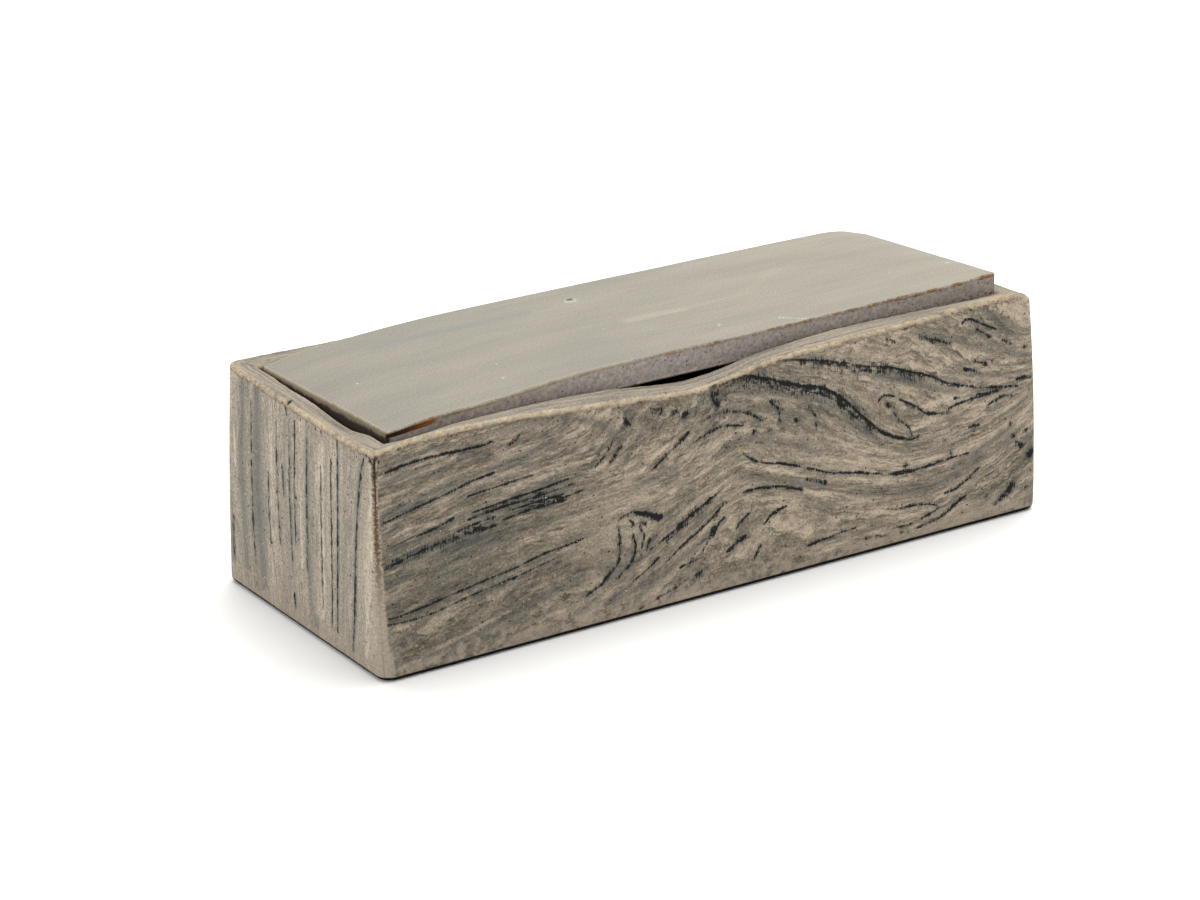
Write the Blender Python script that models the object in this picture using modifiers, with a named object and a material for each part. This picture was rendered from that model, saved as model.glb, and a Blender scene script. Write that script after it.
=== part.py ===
"""Slab-built box of marbled stoneware with a loose, warped, glazed lid slab.

The origin is the middle of the underside, +X runs along the box, -Y is its front and
+Z is up. Sizes are in millimetres until a point is stored, which is in metres.
"""

import math

import bmesh
import bpy

MM = 0.001

# Driving dimensions
LENGTH = 161.4
WIDTH = 62.3
WALL = 6.0
BASE = 6.0
LID = 5.8
GAP = 0.3
LID_CLEARANCE = 0.45
CORNER_RADIUS = 2.6
FOOT_RADIUS = 1.4
RIM_RADIUS = 1.0
LID_EDGE = 0.7
LID_CORNER = 4.5
COIL = 4.0
LEDGE_WIDTH = 5.0
LEDGE_THICKNESS = 5.0
# Section of a coil pressed into a corner, as shares of COIL along its two legs.
COIL_SECTION = [(0.0, 0.0), (1.0, 0.0), (0.4, 0.4), (0.0, 1.0)]

# The front left corner is sharper at the rim than at the foot.
SEAM_FOOT_RADIUS = 3.0
SEAM_RIM_RADIUS = 1.2

# The walls slumped in the kiln: how far each corner leans at LEAN_HEIGHT, by its side in
# x and y, on the outside and on the inside of the walls.
LEAN_HEIGHT = 48.0
OUTER_LEAN = {(-1, -1): (-0.9, 0.8), (-1, 1): (0.9, -1.1), (1, -1): (-1.8, 2.1), (1, 1): (-1.8, -1.1)}
INNER_LEAN = {(-1, -1): (-0.1, 1.5), (-1, 1): (-0.2, 0.3), (1, -1): (0.1, 2.8), (1, 1): (-0.3, 0.2)}
# How far the outside of the end walls bulges at half height.
BULGE_LEFT = 0.4
BULGE_RIGHT = 0.85

# Heights of the rim's outer and inner edges, as (place along the wall, height).
RIM_OUTER = {
    "front": [(-80, 48.0), (-71, 49.0), (-53, 48.6), (-26, 46.7), (-7, 45.1), (2, 45.8),
              (10, 47.3), (18, 47.8), (48, 48.4), (71, 49.1), (80, 49.0)],
    "back": [(-80, 47.5), (80, 44.7)],
    "left": [(-30, 47.8), (-24, 47.2), (-6, 47.0), (10, 47.2), (30, 47.5)],
    "right": [(-30, 48.4), (-24, 47.1), (30, 44.7)],
}
RIM_INNER = {
    "front": [(-74, 47.3), (-63, 47.8), (-40, 47.6), (-26, 46.9), (-8, 45.1), (2, 45.6),
              (12, 47.0), (32, 48.2), (48, 48.1), (74, 47.5)],
    "back": [(-74, 46.9), (74, 44.6)],
    "left": [(-24, 47.2), (-16, 46.5), (14, 46.4), (24, 46.8)],
    "right": [(-24, 46.8), (24, 44.4)],
}

# Heights of the lid's long top edges, as (place along the lid, height).
LID_FRONT = [(-74, 47.6), (-63, 49.2), (-49, 50.0), (-35, 51.0), (-21, 51.35), (15, 51.15),
             (48, 51.35), (64, 51.4), (74, 51.8)]
LID_BACK = [(-74, 46.9), (-66, 48.3), (-48, 49.4), (-32, 49.8), (13, 49.6), (43, 49.4),
            (59, 49.2), (67, 48.9), (74, 47.6)]

# Colours, in linear light
CLAY_FRONT = (0.20, 0.18, 0.145)
CLAY_END = (0.31, 0.28, 0.225)
CLAY_INSIDE = (0.24, 0.21, 0.17)
GLAZE = (0.45, 0.43, 0.36)


def smooth_height(points, at):
    """Height at a place on the smooth curve through a few points."""
    places = [point[0] for point in points]
    heights = [point[1] for point in points]
    at = min(max(at, places[0]), places[-1])
    slopes = []
    for i in range(len(points)):
        low = max(i - 1, 0)
        high = min(i + 1, len(points) - 1)
        slopes.append((heights[high] - heights[low]) / (places[high] - places[low]))
    i = 0
    while i < len(points) - 2 and at > places[i + 1]:
        i += 1
    span = places[i + 1] - places[i]
    t = (at - places[i]) / span
    rise = t * t * (3 - 2 * t)
    start_pull = t * (1 - t) * (1 - t) * span * slopes[i]
    end_pull = t * t * (t - 1) * span * slopes[i + 1]
    return heights[i] * (1 - rise) + heights[i + 1] * rise + start_pull + end_pull


def leaned(x, y, z, inwards=1.0):
    """Shift a point with the leaning walls; inwards is 0 outside a wall and 1 inside it."""
    right = x / LENGTH + 0.5
    back = y / WIDTH + 0.5
    shift_x = 0.0
    shift_y = 0.0
    for side_x, side_y in OUTER_LEAN:
        share = right if side_x > 0 else 1 - right
        share *= back if side_y > 0 else 1 - back
        outer = OUTER_LEAN[side_x, side_y]
        inner = INNER_LEAN[side_x, side_y]
        shift_x += share * (outer[0] + (inner[0] - outer[0]) * inwards)
        shift_y += share * (outer[1] + (inner[1] - outer[1]) * inwards)
    height = z / LEAN_HEIGHT
    bulge = (BULGE_RIGHT * right - BULGE_LEFT * (1 - right)) * 4 * height * (1 - height)
    return (x + shift_x * height + bulge * (1 - inwards), y + shift_y * height, z)


def metres(point):
    return tuple(value * MM for value in point)


def clay(name, colour, roughness):
    """A matte material with one colour."""
    material = bpy.data.materials.new(name)
    material.use_nodes = True
    shader = material.node_tree.nodes["Principled BSDF"]
    shader.inputs["Base Color"].default_value = (*colour, 1.0)
    shader.inputs["Roughness"].default_value = roughness
    shader.inputs["Metallic"].default_value = 0.0
    return material


def add_object(name, bm, material, parent):
    """Turn a bmesh into a named object of the box or of its lid."""
    bmesh.ops.recalc_face_normals(bm, faces=bm.faces)
    mesh = bpy.data.meshes.new(name)
    bm.to_mesh(mesh)
    bm.free()
    mesh.materials.append(material)
    obj = bpy.data.objects.new(name, mesh)
    obj.parent = parent
    bpy.data.collections["marbled_lidded_box"].objects.link(obj)
    return obj


def loft(sections):
    """A closed body through sections that have the same number of points."""
    bm = bmesh.new()
    rings = []
    for section in sections:
        ring = [bm.verts.new(metres(point)) for point in section]
        rings.append(ring)
    for ring, following in zip(rings, rings[1:]):
        for i in range(len(ring)):
            j = (i + 1) % len(ring)
            bm.faces.new((ring[i], ring[j], following[j], following[i]))
    bm.faces.new(rings[0])
    bm.faces.new(rings[-1])
    return bm


def placed(side, along, depth, z):
    """A point of a wall, from its place along the wall and its depth behind the outer face."""
    if side == "front":
        x, y = along, depth - WIDTH / 2
    elif side == "back":
        x, y = along, WIDTH / 2 - depth
    elif side == "left":
        x, y = depth - LENGTH / 2, along
    else:
        x, y = LENGTH / 2 - depth, along
    return leaned(x, y, z, min(depth / WALL, 1.0))


def corner_radius(side, end, z):
    """Radius of a vertical corner; end is -1 or 1 along the wall."""
    if side in ("front", "left") and end < 0:
        return SEAM_FOOT_RADIUS + (SEAM_RIM_RADIUS - SEAM_FOOT_RADIUS) * z / LEAN_HEIGHT
    return CORNER_RADIUS


def wall_profile(outer_height, inner_height):
    """The wall's upright section as (depth, height): foot, outer face, rim, inner face."""
    profile = []
    for degrees in (0, 30, 60, 90):
        turn = math.radians(degrees)
        profile.append((FOOT_RADIUS * (1 - math.sin(turn)), FOOT_RADIUS * (1 - math.cos(turn))))
    profile += [(0.0, outer_height * share) for share in (0.25, 0.5, 0.75)]
    for degrees in (0, 45, 90):
        turn = math.radians(degrees)
        profile.append((RIM_RADIUS * (1 - math.cos(turn)), outer_height - RIM_RADIUS * (1 - math.sin(turn))))
    for degrees in (90, 45, 0):
        turn = math.radians(degrees)
        depth = WALL - RIM_RADIUS * (1 - math.cos(turn))
        profile.append((depth, inner_height - RIM_RADIUS * (1 - math.sin(turn))))
    profile.append((WALL, 0.0))
    return profile


def wall_stations(steps):
    """Places along a wall, as (end, angle round that end's corner, share of the straight run)."""
    stations = [(-1, degrees, 0.0) for degrees in (45, 60, 75, 90)]
    stations += [(0, 90, i / steps) for i in range(1, steps)]
    stations += [(1, degrees, 1.0) for degrees in (90, 75, 60, 45)]
    return stations


def wall_section(side, half, station):
    """One section of a wall, fanned out so that the end sections lie on the mitres."""
    end, degrees, share = station
    turn = math.radians(degrees)
    start = corner_radius(side, -1, 0.0) - half
    stop = half - corner_radius(side, 1, 0.0)
    middle = start + (stop - start) * share
    place = end * half if end else middle
    profile = wall_profile(smooth_height(RIM_OUTER[side], place), smooth_height(RIM_INNER[side], place))
    section = []
    for depth, z in profile:
        radius = corner_radius(side, end or math.copysign(1, middle), z)
        retreat = radius * (1 - math.sin(turn))
        along = end * (half - radius * (1 - math.cos(turn))) if end else middle
        mitre_start = radius * (1 - math.sqrt(0.5))
        depth = max(depth, retreat + depth * (1 - retreat / WALL))
        along *= 1 - (depth - retreat) / (half - mitre_start)
        along *= 1 - GAP / math.sqrt(2) / half
        section.append(placed(side, along, depth, z))
    return section


def make_wall(name, side, steps, material, parent):
    """A wall slab, mitred at both ends, with rounded foot, rim and corners."""
    half = LENGTH / 2 if side in ("front", "back") else WIDTH / 2
    sections = [wall_section(side, half, station) for station in wall_stations(steps)]
    return add_object(name, loft(sections), material, parent)


def make_base(material, parent):
    """The floor slab, which lies between the feet of the walls."""
    bm = bmesh.new()
    bmesh.ops.create_cube(bm, size=1.0)
    for vert in bm.verts:
        x = 2 * vert.co.x * (LENGTH / 2 - WALL - GAP)
        y = 2 * vert.co.y * (WIDTH / 2 - WALL - GAP)
        z = (vert.co.z + 0.5) * BASE
        vert.co = metres(leaned(x, y, z))
    return add_object("base_slab", bm, material, parent)


def coil_section(origin, first, second):
    """A hollow-faced fillet with one corner at the origin and its legs along two directions."""
    section = []
    for a, b in COIL_SECTION:
        point = [origin[i] + COIL * (a * first[i] + b * second[i]) for i in range(3)]
        section.append(point)
    return section


def make_floor_coil(name, side, material, parent):
    """The fillet where a wall meets the floor, mitred against its neighbours."""
    long_side = side in ("front", "back")
    half = (LENGTH if long_side else WIDTH) / 2 - WALL - GAP
    sections = []
    for end in (-1, 0, 1):
        section = []
        for offset, rise in COIL_SECTION:
            along = end * (half - COIL * offset - GAP / math.sqrt(2))
            section.append(placed(side, along, WALL + GAP + COIL * offset, BASE + GAP + COIL * rise))
        sections.append(section)
    return add_object(name, loft(sections), material, parent)


def make_seam_coil(name, side_x, side_y, material, parent):
    """The fillet up an inside corner, from the floor fillet to just under the lid's ledge."""
    corner_x = side_x * (LENGTH / 2 - WALL - GAP)
    corner_y = side_y * (WIDTH / 2 - WALL - GAP)
    bottom = BASE + COIL + 2 * GAP
    top = ledge_bottom(side_x, corner_y) - GAP
    sections = []
    for z in (bottom, top):
        plan = coil_section((corner_x, corner_y, z), (-side_x, 0, 0), (0, -side_y, 0))
        sections.append([leaned(*point) for point in plan])
    return add_object(name, loft(sections), material, parent)


def lid_top(x, y):
    """Height of the lid's upper face, ruled from its front edge to its back edge."""
    back = y / (WIDTH - 2 * WALL) + 0.5
    return smooth_height(LID_FRONT, x) * (1 - back) + smooth_height(LID_BACK, x) * back


def ledge_top(x, y):
    return lid_top(x, y) - LID - GAP


def ledge_bottom(side_x, y):
    return ledge_top(side_x * (LENGTH / 2 - WALL), y) - LEDGE_THICKNESS


def make_ledge(name, side_x, material, parent):
    """The strip inside an end wall that the lid rests on."""
    outer_x = side_x * (LENGTH / 2 - WALL - GAP)
    inner_x = outer_x - side_x * LEDGE_WIDTH
    half = WIDTH / 2 - WALL - GAP
    sections = []
    for share in (-1.0, -0.5, 0.0, 0.5, 1.0):
        y = share * half
        corners = [(outer_x, ledge_bottom(side_x, y)), (inner_x, ledge_bottom(side_x, y)),
                   (inner_x, ledge_top(outer_x, y)), (outer_x, ledge_top(outer_x, y))]
        sections.append([leaned(x, y, z) for x, z in corners])
    return add_object(name, loft(sections), material, parent)


def round_plan_corner(x, y, half_x, half_y):
    """Pull the back right corner of the lid's plan onto a quarter circle."""
    across = (x - half_x) / LID_CORNER + 1
    up = (y - half_y) / LID_CORNER + 1
    if across > 0 and up > 0:
        x = half_x + LID_CORNER * (across * math.sqrt(1 - up * up / 2) - 1)
        y = half_y + LID_CORNER * (up * math.sqrt(1 - across * across / 2) - 1)
    return x, y


def make_lid(material, parent):
    """The warped lid slab: a bent sheet with thickness and softened edges."""
    half_x = LENGTH / 2 - WALL - LID_CLEARANCE
    half_y = WIDTH / 2 - WALL - LID_CLEARANCE
    bm = bmesh.new()
    bmesh.ops.create_grid(bm, x_segments=42, y_segments=14, size=1.0)
    for vert in bm.verts:
        x, y = round_plan_corner(vert.co.x * half_x, vert.co.y * half_y, half_x, half_y)
        plan = leaned(x, y, LEAN_HEIGHT)
        vert.co = metres((plan[0], plan[1], lid_top(x, y)))
    under = bmesh.ops.extrude_face_region(bm, geom=bm.faces[:])
    for item in under["geom"]:
        if isinstance(item, bmesh.types.BMVert):
            item.co.z -= LID * MM
    lid = add_object("lid_slab", bm, material, parent)
    edges = lid.modifiers.new("softened edges", "BEVEL")
    edges.width = LID_EDGE * MM
    edges.segments = 2
    edges.limit_method = "ANGLE"
    edges.angle_limit = math.radians(40)
    return lid


def main():
    for obj in list(bpy.data.objects):
        bpy.data.objects.remove(obj)
    collection = bpy.data.collections.new("marbled_lidded_box")
    bpy.context.scene.collection.children.link(collection)
    box = bpy.data.objects.new("box", None)
    lid_lift = bpy.data.objects.new("lid_lift", None)
    collection.objects.link(box)
    collection.objects.link(lid_lift)

    front_clay = clay("marbled clay front", CLAY_FRONT, 0.75)
    end_clay = clay("marbled clay end", CLAY_END, 0.75)
    inside_clay = clay("plain clay inside", CLAY_INSIDE, 0.85)
    glaze = clay("grey green glaze", GLAZE, 0.45)

    make_base(inside_clay, box)
    make_wall("front_wall", "front", 28, front_clay, box)
    make_wall("back_wall", "back", 8, front_clay, box)
    make_wall("left_end_wall", "left", 8, end_clay, box)
    make_wall("right_end_wall", "right", 6, end_clay, box)
    for side in ("front", "back", "left", "right"):
        make_floor_coil("floor_coil_" + side, side, inside_clay, box)
    for side_x, end_name in ((-1, "left"), (1, "right")):
        for side_y, face_name in ((-1, "front"), (1, "back")):
            make_seam_coil(f"seam_coil_{face_name}_{end_name}", side_x, side_y, inside_clay, box)
        make_ledge("lid_ledge_" + end_name, side_x, inside_clay, box)
    make_lid(glaze, lid_lift)


main()
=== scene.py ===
import math

import bmesh
import bpy
import numpy as np
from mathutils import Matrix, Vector, noise


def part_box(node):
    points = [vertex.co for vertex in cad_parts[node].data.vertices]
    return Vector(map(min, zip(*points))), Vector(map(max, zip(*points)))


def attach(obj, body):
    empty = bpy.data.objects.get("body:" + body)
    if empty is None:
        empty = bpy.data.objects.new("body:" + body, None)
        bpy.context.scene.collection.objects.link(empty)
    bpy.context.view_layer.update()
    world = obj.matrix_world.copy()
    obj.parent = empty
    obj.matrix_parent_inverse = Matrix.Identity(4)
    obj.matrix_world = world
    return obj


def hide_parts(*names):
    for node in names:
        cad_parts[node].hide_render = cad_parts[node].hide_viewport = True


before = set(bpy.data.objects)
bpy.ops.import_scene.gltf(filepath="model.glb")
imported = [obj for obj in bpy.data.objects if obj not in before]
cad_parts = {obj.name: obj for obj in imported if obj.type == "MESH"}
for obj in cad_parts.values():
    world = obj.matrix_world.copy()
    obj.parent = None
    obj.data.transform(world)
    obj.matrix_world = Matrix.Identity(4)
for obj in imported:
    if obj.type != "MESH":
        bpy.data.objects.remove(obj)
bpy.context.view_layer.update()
print("frame loaded")

mm = 0.001

# The box as it was put together: sizes in millimetres, leans at the height of the rim
shape = {
    "length": 161.4, "width": 62.3, "wall": 6.0, "base": 6.0, "lid": 5.8, "gap": 0.3,
    "clearance": 0.45, "cornerRadius": 2.6, "footRadius": 1.4, "rimRadius": 1.0,
    "seamFoot": 3.0, "seamRim": 1.2, "leanHeight": 48.0, "bulgeLeft": 0.4, "bulgeRight": 0.85,
    "mitreGap": 0.01, "dent": 0.10, "pock": 0.035, "rimWear": 0.10, "sharpAngle": 50,
    "outerLean": {(-1, -1): (-0.9, 0.8), (-1, 1): (0.9, -1.1), (1, -1): (-1.8, 2.1), (1, 1): (-1.8, -1.1)},
    "innerLean": {(-1, -1): (-0.1, 1.5), (-1, 1): (-0.2, 0.3), (1, -1): (0.1, 2.8), (1, 1): (-0.3, 0.2)},
    "rimOuter": {
        "front": [(-80, 48.0), (-71, 49.0), (-53, 48.6), (-26, 46.7), (-7, 45.1), (2, 45.8),
                  (10, 47.3), (18, 47.8), (48, 48.4), (71, 49.1), (76.5, 48.8), (80, 47.5)],
        "back": [(-80, 47.5), (80, 44.7)],
        "left": [(-30, 47.8), (-24, 47.2), (-6, 47.0), (10, 47.2), (30, 47.5)],
        "right": [(-30, 47.5), (-24, 47.1), (30, 44.7)],
    },
    "rimInner": {
        "front": [(-74, 46.8), (-63, 47.6), (-40, 47.6), (-26, 46.9), (-8, 45.1), (2, 45.6),
                  (12, 47.0), (32, 48.2), (48, 48.1), (74, 47.5)],
        "back": [(-74, 46.9), (74, 44.6)],
        "left": [(-24, 46.6), (-15, 45.5), (-6, 45.7), (3, 46.3), (14, 46.4), (24, 46.8)],
        "right": [(-24, 46.8), (24, 44.4)],
    },
    "lidFront": [(-74, 48.3), (-63, 49.4), (-49, 50.0), (-35, 51.0), (-21, 51.35), (15, 51.15),
                 (48, 51.35), (64, 51.4), (74, 51.8)],
    "lidBack": [(-74, 46.9), (-66, 48.3), (-48, 49.4), (-32, 49.8), (13, 49.6), (43, 49.4),
                (59, 49.2), (67, 48.9), (74, 47.6)],
}


# Heights of a smooth curve through a few points, for an array of places
def curveHeight(points, at):
    places = np.array([p[0] for p in points], float)
    heights = np.array([p[1] for p in points], float)
    at = np.clip(np.asarray(at, float), places[0], places[-1])
    index = np.arange(len(points))
    low, high = np.maximum(index - 1, 0), np.minimum(index + 1, len(points) - 1)
    slopes = (heights[high] - heights[low]) / (places[high] - places[low])
    i = np.clip(np.searchsorted(places, at, side="left") - 1, 0, len(points) - 2)
    span = places[i + 1] - places[i]
    t = (at - places[i]) / span
    rise = t * t * (3 - 2 * t)
    pull = t * (1 - t) ** 2 * span * slopes[i] + t * t * (t - 1) * span * slopes[i + 1]
    return heights[i] * (1 - rise) + heights[i + 1] * rise + pull


# Shifts points with the leaning walls; inwards is 0 outside a wall and 1 inside it
def leaned(x, y, z, inwards=1.0):
    right = x / shape["length"] + 0.5
    back = y / shape["width"] + 0.5
    shiftX, shiftY = 0.0, 0.0
    for (sideX, sideY), outer in shape["outerLean"].items():
        inner = shape["innerLean"][sideX, sideY]
        share = (right if sideX > 0 else 1 - right) * (back if sideY > 0 else 1 - back)
        shiftX = shiftX + share * (outer[0] + (inner[0] - outer[0]) * inwards)
        shiftY = shiftY + share * (outer[1] + (inner[1] - outer[1]) * inwards)
    height = z / shape["leanHeight"]
    bulge = (shape["bulgeRight"] * right - shape["bulgeLeft"] * (1 - right)) * 4 * height * (1 - height)
    return x + shiftX * height + bulge * (1 - inwards), y + shiftY * height, z


# Points of a wall, from the place along it and the depth behind its outer face
def placed(side, along, depth, z):
    halfX, halfY = shape["length"] / 2, shape["width"] / 2
    if side == "front":
        x, y = along, depth - halfY
    elif side == "back":
        x, y = along, halfY - depth
    elif side == "left":
        x, y = depth - halfX, along
    else:
        x, y = halfX - depth, along
    return leaned(x, y, z, np.minimum(depth / shape["wall"], 1.0))


# Smooth noise between -1 and 1 at points in millimetres
def wobble(points, size, seed):
    shift = Vector((seed * 7.3, seed * 3.1, seed * 5.7))
    return np.array([noise.noise(Vector(p) / size + shift) for p in points])


# Keeps points in millimetres inside the space of a CAD node
def insideBox(points, node, slack=0.0):
    low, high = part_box(node)
    low = np.array(low) / mm - slack
    high = np.array(high) / mm + slack
    return np.clip(points, low, high)


# A smooth-shaded object from points in millimetres
def addMesh(name, points, faces, material, attributes=None):
    mesh = bpy.data.meshes.new(name)
    mesh.from_pydata((np.asarray(points) * mm).tolist(), [], faces)
    mesh.materials.append(material)
    for key, values in (attributes or {}).items():
        values = np.asarray(values, np.float32)
        if values.ndim == 1:
            mesh.attributes.new(key, "FLOAT", "POINT").data.foreach_set("value", values)
        elif values.shape[1] == 3:
            mesh.attributes.new(key, "FLOAT_VECTOR", "POINT").data.foreach_set("vector", values.ravel())
        else:
            mesh.attributes.new(key, "FLOAT_COLOR", "POINT").data.foreach_set("color", values.ravel())
    mesh.shade_smooth()
    obj = bpy.data.objects.new(name, mesh)
    bpy.context.scene.collection.objects.link(obj)
    bm = bmesh.new()
    bm.from_mesh(mesh)
    bmesh.ops.recalc_face_normals(bm, faces=bm.faces)
    bm.to_mesh(mesh)
    bm.free()
    mesh.set_sharp_from_angle(angle=math.radians(shape["sharpAngle"]))
    return obj


# The marbling is lines laid in each wall's own millimetres, along and up.
# Points of a smooth curve through given points
def smoothLine(points, parts=4):
    points = np.array(points, float)
    if len(points) < 3:
        return points
    padded = np.vstack([2 * points[0] - points[1], points, 2 * points[-1] - points[-2]])
    out = []
    for i in range(len(points) - 1):
        a, b, c, d = padded[i:i + 4]
        for k in range(parts):
            t = k / parts
            out.append(0.5 * (2 * b + (c - a) * t + (2 * a - 5 * b + 4 * c - d) * t * t
                              + (3 * b - a - 3 * c + d) * t ** 3))
    out.append(points[-1])
    return np.array(out)


# A smooth scalar field that keeps one level along each guide line
def fieldThrough(guides, at, step=3.0, softness=15.0):
    places, levels = [], []
    for level, *line in guides:
        line = smoothLine(line)
        run = np.r_[0, np.cumsum(np.hypot(*np.diff(line, axis=0).T))]
        where = np.linspace(0, run[-1], max(2, int(run[-1] / step)))
        places.append(np.c_[np.interp(where, run, line[:, 0]), np.interp(where, run, line[:, 1])])
        levels.append(np.full(len(where), float(level)))
    places, levels = np.vstack(places), np.hstack(levels)

    def kernel(a):
        squared = ((a[:, None] - places[None]) ** 2).sum(-1)
        return 0.5 * squared * np.log(squared + 1e-9)

    count = len(places)
    matrix = np.zeros((count + 3, count + 3))
    matrix[:count, :count] = kernel(places) + np.eye(count) * softness
    matrix[:count, count:] = np.c_[np.ones(count), places]
    matrix[count:, :count] = matrix[:count, count:].T
    weights = np.linalg.solve(matrix, np.r_[levels, 0, 0, 0])
    out = np.empty(len(at))
    for start in range(0, len(at), 20000):
        part = at[start:start + 20000]
        plane = np.c_[np.ones(len(part)), part] @ weights[count:]
        out[start:start + 20000] = kernel(part) @ weights[:count] + plane
    return out


# How strongly the nearest stroke covers each point, its signed distance in reaches, and its strength
def strokeField(strokes, at, feather):
    cover, signed, power = np.full(len(at), -1.0), np.full(len(at), 4.0), np.ones(len(at))
    for width, strength, *line in strokes:
        line = smoothLine(line) if len(line) > 1 else np.array([line[0], line[0]], float)
        reach = 4 * (width / 2 + feather)
        near = np.where((at[:, 0] > line[:, 0].min() - reach) & (at[:, 0] < line[:, 0].max() + reach)
                        & (at[:, 1] > line[:, 1].min() - reach) & (at[:, 1] < line[:, 1].max() + reach))[0]
        if not len(near):
            continue
        spot = at[near]
        best, side = np.full(len(near), 99.0), np.ones(len(near))
        total = len(line) - 1
        for k in range(total):
            a, run = line[k], line[k + 1] - line[k]
            t = np.clip((spot - a) @ run / max(run @ run, 1e-9), 0, 1)
            away = spot - a - t[:, None] * run
            place = (k + t) / total
            taper = 0.45 + 0.55 * np.sqrt(np.clip(np.sin(np.pi * place), 0, 1)) if total > 1 else 1.0
            distance = np.hypot(*away.T) / (width / 2 * taper + feather)
            if total > 1:
                turned = np.where(run[0] * away[:, 1] < run[1] * away[:, 0], -1.0, 1.0)
                side = np.where(distance < best, turned, side)
            best = np.minimum(best, distance)
        value = strength * (1 - best)
        better = value > cover[near]
        chosen = near[better]
        cover[chosen], signed[chosen], power[chosen] = value[better], (best * side)[better], strength
    return cover, signed, power


# Soft oval patches: (strength, along, height, radius along, radius up)
def patchField(patches, at):
    out = np.zeros(len(at))
    for strength, x, z, radiusX, radiusZ in patches:
        out += strength * np.exp(-((at[:, 0] - x) / radiusX) ** 2 - ((at[:, 1] - z) / radiusZ) ** 2)
    return out


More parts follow.
